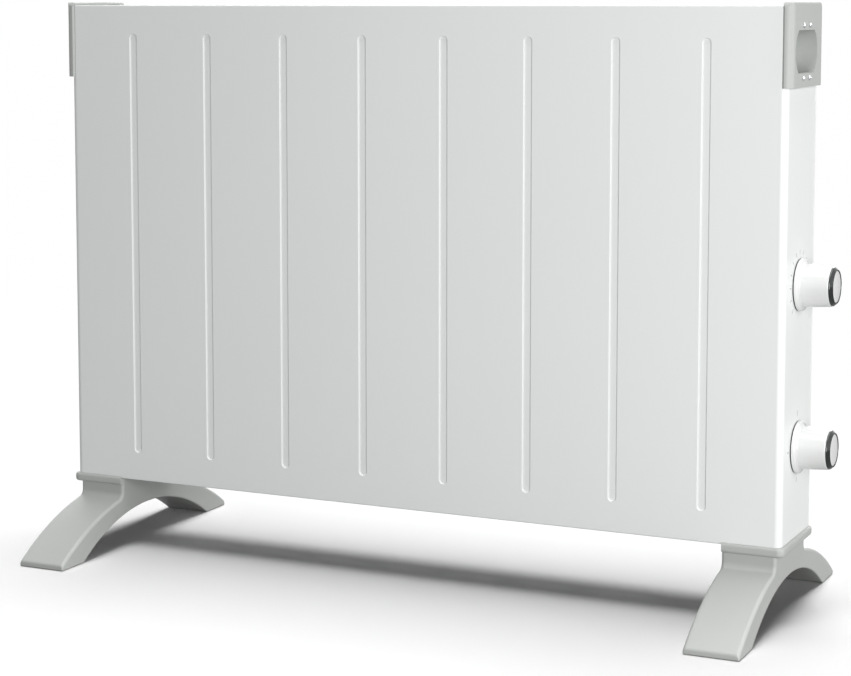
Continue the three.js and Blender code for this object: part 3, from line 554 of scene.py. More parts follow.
class Shape:
    """A closed mesh in the making, in millimetres, shaped with mesh operators."""

    def __init__(self) -> None:
        """Starts an empty mesh."""
        self.bm = bmesh.new()

    @classmethod
    def block(cls, low: Triple, high: Triple) -> "Shape":
        """Returns a box between two corners."""
        shape = cls()
        verts = bmesh.ops.create_cube(shape.bm, size=1.0)["verts"]
        bmesh.ops.scale(shape.bm, vec=Vector(high) - Vector(low), verts=verts)
        bmesh.ops.translate(shape.bm, vec=(Vector(low) + Vector(high)) / 2, verts=verts)
        return shape

    @classmethod
    def rod(
        cls, axis: Axis, radius: float, start: float, end: float, centre: Pair, sides: int = 48
    ) -> "Shape":
        """Makes a rod.

        Args:
            axis: the way that it runs.
            radius: its radius.
            start: where it starts on the axis.
            end: where it ends on the axis.
            centre: the other two coordinates of its middle line.
            sides: the number of its sides.

        Returns:
            The new shape.
        """
        shape = cls()
        verts = bmesh.ops.create_cone(
            shape.bm, cap_ends=True, cap_tris=False, segments=sides, radius1=radius, radius2=radius,
            depth=end - start,
        )["verts"]
        bmesh.ops.rotate(shape.bm, cent=(0, 0, 0), matrix=axis.turn(), verts=verts)
        bmesh.ops.translate(shape.bm, vec=axis.place((start + end) / 2, centre), verts=verts)
        return shape

    @classmethod
    def slot(
        cls, axis: Axis, radius: float, start: float, end: float, centre: Pair, reach: float,
        run: Axis, sides: int = 24,
    ) -> "Shape":
        """Makes a round-ended bar: a rod whose two halves are drawn apart.

        Args:
            axis: the way that the rod runs.
            radius: half the bar's width.
            start: where it starts on the axis.
            end: where it ends on the axis.
            centre: the other two coordinates of its middle.
            reach: from the middle to the centre of each round end.
            run: the way that the halves are drawn apart.
            sides: the number of sides of the two round ends together.

        Returns:
            The new shape.
        """
        shape = cls.rod(axis, radius, start, end, centre, sides)
        middle = axis.place(0, centre)
        spin = Matrix.Rotation(math.pi / sides, 3, axis.name)
        bmesh.ops.rotate(shape.bm, cent=middle, matrix=spin, verts=shape.bm.verts)
        for sign in (-1, 1):
            half = [v for v in shape.bm.verts if sign * (v.co - middle)[run.value] > 0]
            bmesh.ops.translate(shape.bm, vec=run.way(reach) * sign, verts=half)
        return shape

    @classmethod
    def drawn(cls, outline: Sequence[Pair], start: float, end: float) -> "Shape":
        """Draws a closed outline of (Y, Z) out along X.

        Args:
            outline: its points in order.
            start: where the bar starts on X.
            end: where it ends on X.

        Returns:
            The new shape.
        """
        shape = cls()
        face = shape.bm.faces.new([shape.bm.verts.new((start, y, z)) for y, z in outline])
        grown = bmesh.ops.extrude_face_region(shape.bm, geom=[face])["geom"]
        moved = [item for item in grown if isinstance(item, bmesh.types.BMVert)]
        bmesh.ops.translate(shape.bm, vec=Axis.X.way(end - start), verts=moved)
        bmesh.ops.recalc_face_normals(shape.bm, faces=shape.bm.faces)
        return shape

    @classmethod
    def turned(
        cls, profile: Sequence[Pair], centre: Pair, sides: int = 96, closed: bool = False
    ) -> "Shape":
        """Spins a profile round an axis along X.

        Args:
            profile: points as X and distance from the axis.
            centre: the axis's Y and Z.
            sides: the number of steps.
            closed: joins the last point to the first one.

        Returns:
            The new shape.
        """
        shape = cls()
        bm = shape.bm
        verts = [bm.verts.new((x, centre[0] + radius, centre[1])) for x, radius in profile]
        pairs = list(zip(verts, verts[1:]))
        if closed:
            pairs.append((verts[-1], verts[0]))
        edges = [bm.edges.new(pair) for pair in pairs]
        bmesh.ops.spin(
            bm, geom=verts + edges, cent=(0, *centre), axis=(1, 0, 0), dvec=(0, 0, 0),
            angle=2 * math.pi, steps=sides, use_merge=True, use_duplicate=False,
        )
        bmesh.ops.remove_doubles(bm, verts=bm.verts, dist=MERGED)
        bmesh.ops.recalc_face_normals(bm, faces=bm.faces)
        return shape

    def bevel(self, test: EdgeTest, size: float, segments: int) -> "Shape":
        """Rounds the edges that pass a test, and returns the shape."""
        edges = [edge for edge in self.bm.edges if test(edge)]
        bmesh.ops.bevel(
            self.bm, geom=edges, offset=size, offset_type="OFFSET", segments=segments, profile=0.5,
            affect="EDGES", clamp_overlap=True, material=-1,
        )
        return self

    def steps_in(self, axis: Axis, value: float, steps: Sequence[Pair]) -> "Shape":
        """Draws the face at a plane inwards and onwards in steps.

        Args:
            axis: the axis across the face.
            value: where the face lies on it.
            steps: how far each step goes in from the outline and on along the axis.

        Returns:
            The shape.
        """
        inside = at(axis, value)
        face = [face for face in self.bm.faces if all(inside(edge) for edge in face.edges)][0]
        for inset, onward in steps:
            bmesh.ops.inset_region(
                self.bm, faces=[face], thickness=inset, depth=0.0, use_boundary=True, use_even_offset=True,
            )
            bmesh.ops.translate(self.bm, vec=axis.way(onward), verts=face.verts)
        return self

    def slant(self, axis: Axis, value: float, away: Axis, slope: float, about: float) -> "Shape":
        """Shears the face at a plane, so that it slopes.

        Args:
            axis: the axis across the face.
            value: where the face lies on it.
            away: the axis along which the slope rises.
            slope: rise for each millimetre.
            about: the place on `away` that stays.

        Returns:
            The shape.
        """
        for vert in [v for v in self.bm.verts if abs(v.co[axis.value] - value) < TOUCHING]:
            rise = slope * (vert.co[away.value] - about)
            bmesh.ops.translate(self.bm, vec=axis.way(rise), verts=[vert])
        return self

    def spread(self, angle: float, axis: Axis, centre: Pair) -> "Shape":
        """Turns the shape about a line along an axis, by an angle in degrees, and returns it."""
        turn = Matrix.Rotation(math.radians(angle), 3, axis.name)
        bmesh.ops.rotate(self.bm, cent=axis.place(0, centre), matrix=turn, verts=self.bm.verts)
        return self

    def mirrored(self, side: Side) -> "Shape":
        """Mirrors the shape across the middle of the case for the left side, and returns it."""
        if side is Side.LEFT:
            bmesh.ops.scale(self.bm, vec=(-1, 1, 1), verts=self.bm.verts)
            bmesh.ops.reverse_faces(self.bm, faces=self.bm.faces)
        return self

    def add(self, other: "Shape") -> "Shape":
        """Takes in another shape's mesh as it is, and returns the shape."""
        mesh = bpy.data.meshes.new("part")
        other.bm.to_mesh(mesh)
        other.bm.free()
        self.bm.from_mesh(mesh)
        bpy.data.meshes.remove(mesh)
        return self

    def combined(self, tool: "Shape", action: Action) -> "Shape":
        """Returns what is left of the shape after a second one has cut, joined or trimmed it."""
        made = Piece("blank", self).combine(tool, action).obj
        mesh = made.data
        shape = Shape()
        shape.bm.from_mesh(mesh)
        bpy.data.objects.remove(made)
        bpy.data.meshes.remove(mesh)
        return shape

    def to_object(self, name: str) -> bpy.types.Object:
        """Makes an object of the shape, in millimetres, and ends it."""
        bmesh.ops.recalc_face_normals(self.bm, faces=self.bm.faces)
        mesh = bpy.data.meshes.new(name)
        self.bm.to_mesh(mesh)
        self.bm.free()
        made = bpy.data.objects.new(name, mesh)
        bpy.context.scene.collection.objects.link(made)
        return made


class Piece:
    """A piece of the heater on its way from a first shape to a dressed object."""

    def __init__(self, name: str, shape: Shape) -> None:
        """Starts the piece from a shape."""
        self.obj = shape.to_object(name)

    def settle(self) -> "Piece":
        """Turns the live modifiers into mesh, and returns the piece."""
        graph = bpy.context.evaluated_depsgraph_get()
        mesh = bpy.data.meshes.new_from_object(self.obj.evaluated_get(graph))
        mesh.name = self.obj.name
        old = self.obj.data
        self.obj.modifiers.clear()
        self.obj.data = mesh
        bpy.data.meshes.remove(old)
        return self

    def combine(self, shape: Shape, action: Action) -> "Piece":
        """Cuts, joins or trims the piece with a shape, and returns the piece."""
        tool = shape.to_object("tool")
        modifier = self.obj.modifiers.new(action.name, "BOOLEAN")
        modifier.operation = action.value
        modifier.solver = "EXACT"
        modifier.object = tool
        self.settle()
        mesh = tool.data
        bpy.data.objects.remove(tool)
        bpy.data.meshes.remove(mesh)
        return self

    def soften(self, width: float, segments: int = 2, degrees: float = 35.0) -> "Piece":
        """Rounds every edge that is sharper than an angle, and returns the piece."""
        modifier = self.obj.modifiers.new("soften", "BEVEL")
        modifier.width = width
        modifier.segments = segments
        modifier.limit_method = "ANGLE"
        modifier.angle_limit = math.radians(degrees)
        modifier.use_clamp_overlap = True
        return self.settle()

    def to_side(self, side: Side) -> "Piece":
        """Mirrors the piece for the left side, and returns it."""
        if side is Side.LEFT:
            self.obj.data.transform(Matrix.Scale(-1, 4, (1, 0, 0)))
            self.obj.data.flip_normals()
        return self

    def point(self, seat: Vector, out: Vector) -> "Piece":
        """Turns a piece that was made along X to point another way, moves it to its seat and returns it."""
        turn = Axis.X.way(1.0).rotation_difference(out).to_matrix().to_4x4()
        self.obj.data.transform(Matrix.Translation(seat) @ turn)
        return self

    def dress(self, finish: Finish, body: str, stands_for: Sequence[str]) -> bpy.types.Object:
        """Puts the piece in its place with its finish.

        Args:
            finish: the piece's finish.
            body: the body that it moves with.
            stands_for: the CAD nodes that it replaces.

        Returns:
            The finished object.
        """
        low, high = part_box("back_panel")
        shift = (low.x + high.x) / 2
        mesh = self.obj.data
        mesh.transform(Matrix.Translation((shift, 0, 0)) @ Matrix.Scale(MM, 4))
        for polygon in mesh.polygons:
            polygon.use_smooth = True
        mesh.set_sharp_from_angle(angle=SHARP)
        modifier = self.obj.modifiers.new("even", "WEIGHTED_NORMAL")
        modifier.mode = "FACE_AREA"
        modifier.weight = 100
        modifier.keep_sharp = True
        self.settle()
        self.obj.data.materials.clear()
        self.obj.data.materials.append(finish.material())
        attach(self.obj, body)
        if stands_for:
            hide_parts(*stands_for)
        log.info("%s: %d faces, %s", self.obj.name, len(self.obj.data.polygons), finish.slot)
        return self.obj


# ---------------------------------------------------------------------------
# The case
# ---------------------------------------------------------------------------
@dataclass(frozen=True)
class Case:
    """Sizes that the pieces of the case share."""

    width: float = 734.0
    height: float = 475.0
    depth: float = 95.0
    floor_gap: float = 70.0
    sheet: float = 1.0
    corner: float = 6.5
    flange: float = 13.0
    seam: float = 4.0
    fit: float = 0.3
    handle_proud: float = 4.6
    dial_heights: Pair = (299.0, 153.5)
    foot_screw_at: Pair = (338.0, 22.0)
    back_screw_inset: float = 8.0
    gland_at: Pair = (337.0, 112.0)

    @property
    def half_width(self) -> float:
        """From the middle to a side."""
        return self.width / 2

    @property
    def half_depth(self) -> float:
        """From the middle to the front or the back."""
        return self.depth / 2

    @property
    def bottom(self) -> float:
        """The case's underside."""
        return self.floor_gap

    @property
    def top(self) -> float:
        """The case's top."""
        return self.floor_gap + self.height

    @property
    def seam_y(self) -> float:
        """Where the side sheets end."""
        return self.half_depth - self.seam

    def solid(self, grow: float, back: float, low: float, high: float) -> Shape:
        """Makes the case's outline as a block.

        Args:
            grow: how far it stands out from the case's front and sides.
            back: where it ends at the back.
            low: its underside.
            high: its top.

        Returns:
            The block, with its upright front corners rounded.
        """
        side = self.half_width + grow
        front = -self.half_depth - grow
        block = Shape.block((-side, front, low), (side, back, high))
        return block.bevel(all_of(along(Axis.Z), at(Axis.Y, front)), self.corner + grow, segments=12)

    def lid(self, low: float) -> Shape:
        """Returns a sheet that fills the case from side to side, from its underside up."""
        inset = self.sheet + self.fit
        return self.solid(-inset, self.seam_y - inset, low, low + self.sheet)


@dataclass
class FrontShell:
    """The sheet that wraps the front and both sides, with its pressed channels."""

    case: Case
    channels: int = 8
    side_margin: float = 73.0
    end_margin: float = 28.5
    channel_width: float = 7.5
    fold: float = 1.3
    slope: tuple[Pair, ...] = (
        (0.14, 0.03), (0.18, 0.12), (0.2, 0.27), (0.26, 0.66), (0.2, 0.27), (0.18, 0.12), (0.14, 0.03),
    )
    bush_hole: float = 5.3

    def channel(self, x: float, grow: float, face: float) -> Shape:
        """Makes the solid form of one channel.

        Args:
            x: its middle.
            grow: how much wider it is on each side.
            face: the plane that it is pressed in from.

        Returns:
            A round-ended form with softly sloping sides.
        """
        case = self.case
        radius = self.channel_width / 2 + sum(step[0] for step in self.slope) / 2 + grow
        middle = (case.bottom + case.top) / 2
        reach = case.height / 2 - self.end_margin - self.channel_width / 2
        form = Shape.slot(
            Axis.Y, radius, face - case.sheet, face, (x, middle), reach, Axis.Z, sides=28,
        )
        return form.steps_in(Axis.Y, face, self.slope)

    def build(self) -> bpy.types.Object:
        """Builds and dresses the shell."""
        case = self.case
        front = -case.half_depth
        outer = case.solid(0, case.seam_y, case.bottom, case.top)
        piece = Piece("front_sheet", outer.bevel(sharper_than(50), self.fold, segments=4))
        low, high = case.bottom + case.sheet, case.top - case.sheet
        piece.combine(case.solid(-case.sheet, case.seam_y - case.sheet, low, high), Action.CUT)
        mouth_x = case.half_width - case.flange
        mouth_y = case.half_depth - case.flange
        low, high = case.bottom + case.flange, case.top - case.flange
        for near, far in (
            ((-mouth_x, -mouth_y, 0), (mouth_x, mouth_y, case.top + case.flange)),
            ((-mouth_x, 0, low), (mouth_x, case.depth, high)),
        ):
            piece.combine(Shape.block(near, far), Action.CUT)
        pitch = (case.width - 2 * self.side_margin) / (self.channels - 1)
        places = [-case.half_width + self.side_margin + i * pitch for i in range(self.channels)]
        bosses = (case.sheet / 2, front + case.sheet, Action.JOIN)
        grooves = (0, front, Action.CUT)
        for grow, face, action in (bosses, grooves):
            forms = Shape()
            for x in places:
                form = self.channel(x, grow, face)
                if action is Action.JOIN:
                    verts = [v for v in form.bm.verts if v.co.y < face]
                    bmesh.ops.translate(form.bm, vec=(0, case.sheet / 2, 0), verts=verts)
                forms.add(form)
            piece.combine(forms, action)
        holes = Shape()
        for z in case.dial_heights:
            holes.add(Shape.rod(Axis.X, self.bush_hole, mouth_x, case.width, (0, z), sides=32))
        piece.combine(holes, Action.CUT)
        for side in Side:
            piece.combine(FingerRecess().opening(mouth_x, case.width).mirrored(side), Action.CUT)
        return piece.dress(WHITE_SHEET, ROOT, ["front_shell"])


@dataclass
class SlottedPlate:
    """A flat sheet with rows of round-ended air slots."""

    name: str
    node: str
    normal: Axis
    run: Axis
    face: float
    slot_width: float
    slot_length: float
    places: Sequence[Pair]
    fold: float = 0.3
    through: float = 3.0

    def hole(self, radius: float, centre: Pair, sides: int) -> Shape:
        """Returns a round cutter through the plate."""
        low, high = self.face - self.through, self.face + self.through
        return Shape.rod(self.normal, radius, low, high, centre, sides)

    def slots(self) -> Shape:
        """Returns every slot as one cutter through the plate."""
        low, high = self.face - self.through, self.face + self.through
        radius = self.slot_width / 2
        reach = self.slot_length / 2 - radius
        forms = Shape()
        for place in self.places:
            forms.add(Shape.slot(self.normal, radius, low, high, place, reach, self.run, sides=20))
        return forms

    def build(
        self, blank: Shape, extra: Shape | None = None, hollow: Shape | None = None
    ) -> bpy.types.Object:
        """Cuts and dresses the plate.

        Args:
            blank: the plate before its slots.
            extra: other holes.
            hollow: what is taken out behind the plate's face.

        Returns:
            The finished plate.
        """
        piece = Piece(self.name, blank)
        for cutter in (hollow, self.slots(), extra):
            if cutter is not None:
                piece.combine(cutter, Action.CUT)
        piece.soften(self.fold, segments=1, degrees=50)
        return piece.dress(WHITE_SHEET, ROOT, [self.node])


def middles(low: float, high: float, pitch: float, length: float) -> list[float]:
    """Returns the middles of as many slots as fit between two places, centred between them."""
    count = math.floor((high - low - length) / pitch) + 1
    first = (low + high) / 2 - (count - 1) * pitch / 2
    return [first + i * pitch for i in range(count)]


@dataclass
class CasePlates:
    """The top grille, the base plate and the back panel."""

    case: Case
    outlet_slot: Pair = (8.0, 55.0)
    outlet_pitch: float = 15.0
    outlet_margin: float = 20.0
    inlet_slot: Pair = (7.0, 62.0)
    inlet_pitch: float = 74.0
    inlet_ends: Pair = (-306.0, 268.0)
    inlet_rows: tuple[float, ...] = (-15.0, 0.0, 15.0)
    foot_screw_hole: float = 2.3
    rear_slot: Pair = (7.0, 56.0)
    rear_pitch: float = 66.0
    rear_margin: float = 12.0
    rear_rows: tuple[float, ...] = (150.0, 166.0, 182.0, 491.0, 507.0)
    rear_round: float = 2.0
    rear_fold: float = 0.25
    gland_hole: float = 7.3

    def top_grille(self) -> bpy.types.Object:
        """Builds the air outlet under the top rim."""
        case = self.case
        high = case.top - case.sheet - case.fit
        edge = case.half_width - case.sheet - case.fit - self.outlet_margin
        width, length = self.outlet_slot
        places = [(x, 0.0) for x in middles(-edge, edge, self.outlet_pitch, width)]
        plate = SlottedPlate("outlet_grille", "top_grille", Axis.Z, Axis.Y, high, width, length, places)
        return plate.build(case.lid(high - case.sheet))

    def base_plate(self) -> bpy.types.Object:
        """Builds the air inlet under the warm chamber."""
        case = self.case
        low = case.bottom + case.sheet + case.fit
        width, length = self.inlet_slot
        columns = middles(*self.inlet_ends, self.inlet_pitch, length)
        places = [(x, y) for x in columns for y in self.inlet_rows]
        plate = SlottedPlate("inlet_plate", "base_plate", Axis.Z, Axis.X, low, width, length, places)
        holes = Shape()
        screw_x, screw_y = case.foot_screw_at
        for centre in ((x, y) for x in (screw_x, -screw_x) for y in (-screw_y, screw_y)):
            holes.add(plate.hole(self.foot_screw_hole, centre, sides=16))
        return plate.build(case.lid(low), holes)

    def back_panel(self) -> bpy.types.Object:
        """Builds the pressed pan at the back."""
        case = self.case
        rim = case.seam_y + case.fit
        side, back = case.half_width, case.half_depth
        blank = Shape.block((-side, rim, case.bottom), (side, back, case.top))
        blank.bevel(at(Axis.Y, back), self.rear_round, segments=4)
        hollow = Shape.block(
            (-side + case.sheet, rim - PAST, case.bottom + case.sheet),
            (side - case.sheet, back - case.sheet, case.top - case.sheet),
        )
        reach = side - case.back_screw_inset - self.rear_margin
        width, length = self.rear_slot
        columns = middles(-reach, reach, self.rear_pitch, length)
        places = [(x, z) for x in columns for z in self.rear_rows]
        plate = SlottedPlate(
            "rear_panel", "back_panel", Axis.Y, Axis.X, back, width, length, places, fold=self.rear_fold
        )
        return plate.build(blank, plate.hole(self.gland_hole, case.gland_at, sides=40), hollow)


# ---------------------------------------------------------------------------
# Corner handles
# ---------------------------------------------------------------------------
@dataclass
class FingerRecess:
    """The finger recess of a corner handle: bowed front and back, flat top and bottom, sloping floor."""

    half_width: float = 36.0
    end_radius: float = 21.0
    height: float = 37.4
    y: float = -6.0
    z: float = 505.0
    depth_top: float = 14.0
    depth_bottom: float = 21.0
    wall: float = 1.4
    clearance: float = 0.3
    flat_reach: float = 200.0

    def form(self, grow: float, start: float, end: float) -> Shape:
        """Makes the recess outline as a solid along X.

        Args:
            grow: how much larger it is all round.
            start: where it starts on X.
            end: where it ends on X.

        Returns:
            The solid.
        """
        half = self.height / 2 + grow
        bowed = Shape.slot(
            Axis.X, self.end_radius + grow, start, end, (self.y, self.z),
            self.half_width - self.end_radius, Axis.Y, sides=96,
        )
        flat = Shape.block(
            (start - PAST, -self.flat_reach, self.z - half), (end + PAST, self.flat_reach, self.z + half)
        )
        return bowed.combined(flat, Action.KEEP_COMMON)

    def opening(self, start: float, end: float) -> Shape:
        """Returns the hole that the case's side needs for the recess."""
        return self.form(self.wall + self.clearance, start, end)

    def tub(self, grow: float, outer: float, half_width: float) -> Shape:
        """Makes the recess with its sloping floor.

        Args:
            grow: how much larger it is all round and behind its floor.
            outer: where it ends, outside the handle's face.
            half_width: from the middle of the case to its side.

        Returns:
            The solid.
        """
        floor = half_width - (self.depth_top + self.depth_bottom) / 2 + self.wall - grow
        lean = (self.depth_bottom - self.depth_top) / self.height
        return self.form(grow, floor, outer).slant(Axis.X, floor, Axis.Z, lean, self.z)


@dataclass
class CornerHandle:
    """A grey moulded cap over an upper corner of the case."""

    case: Case
    recess: FingerRecess = field(default_factory=FingerRecess)
    front_proud: float = 2.0
    top_proud: float = 3.0
    wrap: float = 9.5
    height: float = 74.0
    corner: float = 7.5
    top_round: float = 6.0
    chamfer: float = 1.5
    mouth: float = 5.0
    softness: float = 0.6

    def build(self, side: Side) -> bpy.types.Object:
        """Builds and dresses the handle of one side."""
        case = self.case
        outer = case.half_width + case.handle_proud
        inner = outer - self.wrap
        front = -case.half_depth - self.front_proud
        top = case.top + self.top_proud
        low = top - self.height
        name = f"{side.word}_handle"
        cap = Shape.block((inner, front, low), (outer, case.seam_y, top))
        cap.bevel(all_of(along(Axis.Z), at(Axis.X, outer), at(Axis.Y, front)), self.corner, segments=12)
        cap.bevel(all_of(along(Axis.Z), at(Axis.X, inner), at(Axis.Y, front)), self.chamfer, segments=1)
        piece = Piece(name, cap)
        rounded = Shape.block((inner - PAST, front, low), (outer + PAST, case.seam_y, top))
        for edge in (front, case.seam_y):
            upper = all_of(along(Axis.X), at(Axis.Y, edge), at(Axis.Z, top))
            rounded.bevel(upper, self.top_round, segments=10)
        piece.combine(rounded, Action.KEEP_COMMON)
        sloped = Shape.block((inner, front - PAST, low), (outer, case.seam_y + PAST, top))
        sloped.bevel(all_of(along(Axis.Y), at(Axis.Z, top)), self.chamfer, segments=3)
        piece.combine(sloped, Action.KEEP_COMMON)
        space = case.solid(case.fit, case.seam_y + PAST, low - PAST, case.top + case.fit)
        piece.combine(space, Action.CUT)
        recess = self.recess
        piece.combine(recess.tub(recess.wall, outer - PAST, case.half_width), Action.JOIN)
        piece.combine(recess.tub(0, outer + self.mouth, case.half_width), Action.CUT)
        piece.soften(self.softness, segments=3)
        return piece.to_side(side).dress(GREY_PLASTIC, ROOT, [f"{side.word}_corner_handle"])


# ---------------------------------------------------------------------------
# Feet
# ---------------------------------------------------------------------------
@dataclass
class Foot:
    """A grey moulded foot: a lip round the case's end, a neck and two arched legs."""

    case: Case
    width: float = 50.0
    inset: float = 4.0
    lip_proud: float = 3.0
    lip_overlap: float = 2.0
    lip_drop: float = 6.5
    lip_round: float = 2.6
    neck_height: float = 13.5
    neck_inset: float = 0.6
    cove: float = 6.0
    cove_steps: int = 8
    arc_steps: int = 40
    step: float = 0.8
    crown: float = 13.0
    reach: float = 107.0
    toe: float = 37.0
    tip: float = 5.5
    edge: float = 3.2
    toe_edge: float = 2.4
    leg_slope: float = 0.18
    screw_well: float = 4.8
    screw_seat: float = 12.0
    cleared_to: float = 200.0
    softness: float = 0.5

    @staticmethod
    def arc(near: Pair, far: Pair, start: float, steps: int) -> list[Pair]:
        """Places points on a round about the foot's middle plane.

        Args:
            near: a first point of (Y, Z) that the round goes through.
            far: a second one, further out.
            start: the Y of the first point that is placed.
            steps: the number of steps to the far point.

        Returns:
            The points, from `start` outwards.
        """
        drop = near[1] - far[1]
        middle = (near[1] + far[1]) / 2 - (far[0] ** 2 - near[0] ** 2) / (2 * drop)
        radius = math.hypot(far[0], far[1] - middle)
        places = [start + (far[0] - start) * i / steps for i in range(steps + 1)]
        return [(y, middle + math.sqrt(radius ** 2 - y ** 2)) for y in places]

    def outline(self, neck_y: float, neck_low: float, top: float) -> list[Pair]:
        """Draws one half of the foot's outline, seen from the side.

        Args:
            neck_y: from the middle to the neck's front or back.
            neck_low: where the neck meets the legs.
            top: where the neck ends, above the case's underside.

        Returns:
            The points of (Y, Z) from the middle of the arch, round the toe, to the top of the neck.
        """
        toe_y = self.case.half_depth + self.reach
        arch_y = toe_y - self.toe
        crown = neck_low - self.crown
        lean = math.atan(self.leg_slope)
        contact = neck_y + self.cove * (1 - math.sin(lean))
        rise = self.cove * (1 - math.sin(lean)) / math.cos(lean)
        under = self.arc((0, crown), (arch_y, 0), 0, self.arc_steps)
        over = self.arc((neck_y, neck_low), (toe_y, self.tip), contact, self.arc_steps)
        quarter = math.pi / 2 - lean
        turns = [math.pi + quarter * (1 - i / self.cove_steps) for i in range(1, self.cove_steps + 1)]
        cove = [
            (neck_y + self.cove * (1 + math.cos(turn)), neck_low + rise + self.cove * math.sin(turn))
            for turn in turns
        ]
        return under + [(toe_y, 0.0)] + over[::-1] + cove + [(neck_y, top)]

    def on_top(self, edge: bmesh.types.BMEdge) -> bool:
        """True where an edge borders a side and the leg's or the neck's outer surface."""
        if along(Axis.X)(edge):
            return False
        middle = (edge.verts[0].co + edge.verts[1].co) / 2
        outward = [face.normal for face in edge.link_faces if abs(face.normal.x) < 0.5]
        return bool(outward) and outward[0].y * middle.y > 0 and middle.z > self.tip - TOUCHING

    def build(self, side: Side) -> bpy.types.Object:
        """Builds and dresses the foot of one side."""
        case = self.case
        outer = case.half_width - self.inset
        inner = outer - self.width
        lip_low = case.bottom - self.lip_drop
        lip_high = case.bottom + self.lip_overlap
        half = self.outline(
            case.half_depth - self.neck_inset, lip_low - self.neck_height, case.bottom + self.neck_height
        )
        form = Shape.drawn(half + [(-y, z) for y, z in half[:0:-1]], inner, outer)
        form.bevel(all_of(sharper_than(60), self.on_top), self.edge, segments=4)
        form.bevel(sharper_than(30), self.toe_edge, segments=3)
        leg = Piece(f"{side.word}_stand", form)
        lip_x = case.half_width + self.lip_proud
        lip_y = case.half_depth + self.lip_proud
        lip = Shape.block((inner + self.step, -lip_y, lip_low), (lip_x, lip_y, lip_high))
        lip.bevel(all_of(along(Axis.Z), at(Axis.X, lip_x)), case.corner, segments=10)
        lip.bevel(
            lambda edge: (at(Axis.Z, lip_low)(edge) or at(Axis.Z, lip_high)(edge))
            and not at(Axis.X, inner + self.step)(edge),
            self.lip_round, segments=4,
        )
        leg.combine(lip, Action.JOIN)
        space = case.solid(case.fit, case.half_depth + case.fit, case.bottom - case.fit, self.cleared_to)
        leg.combine(space, Action.CUT)
        wells = Shape()
        x, spread = case.foot_screw_at
        well_top = case.bottom - self.screw_seat
        for y in (-spread, spread):
            wells.add(Shape.rod(Axis.Z, self.screw_well, 0, well_top, (x, y), sides=40))
        leg.combine(wells, Action.CUT)
        leg.soften(self.softness, degrees=45)
        return leg.to_side(side).dress(GREY_PLASTIC, ROOT, [f"{side.word}_foot"])


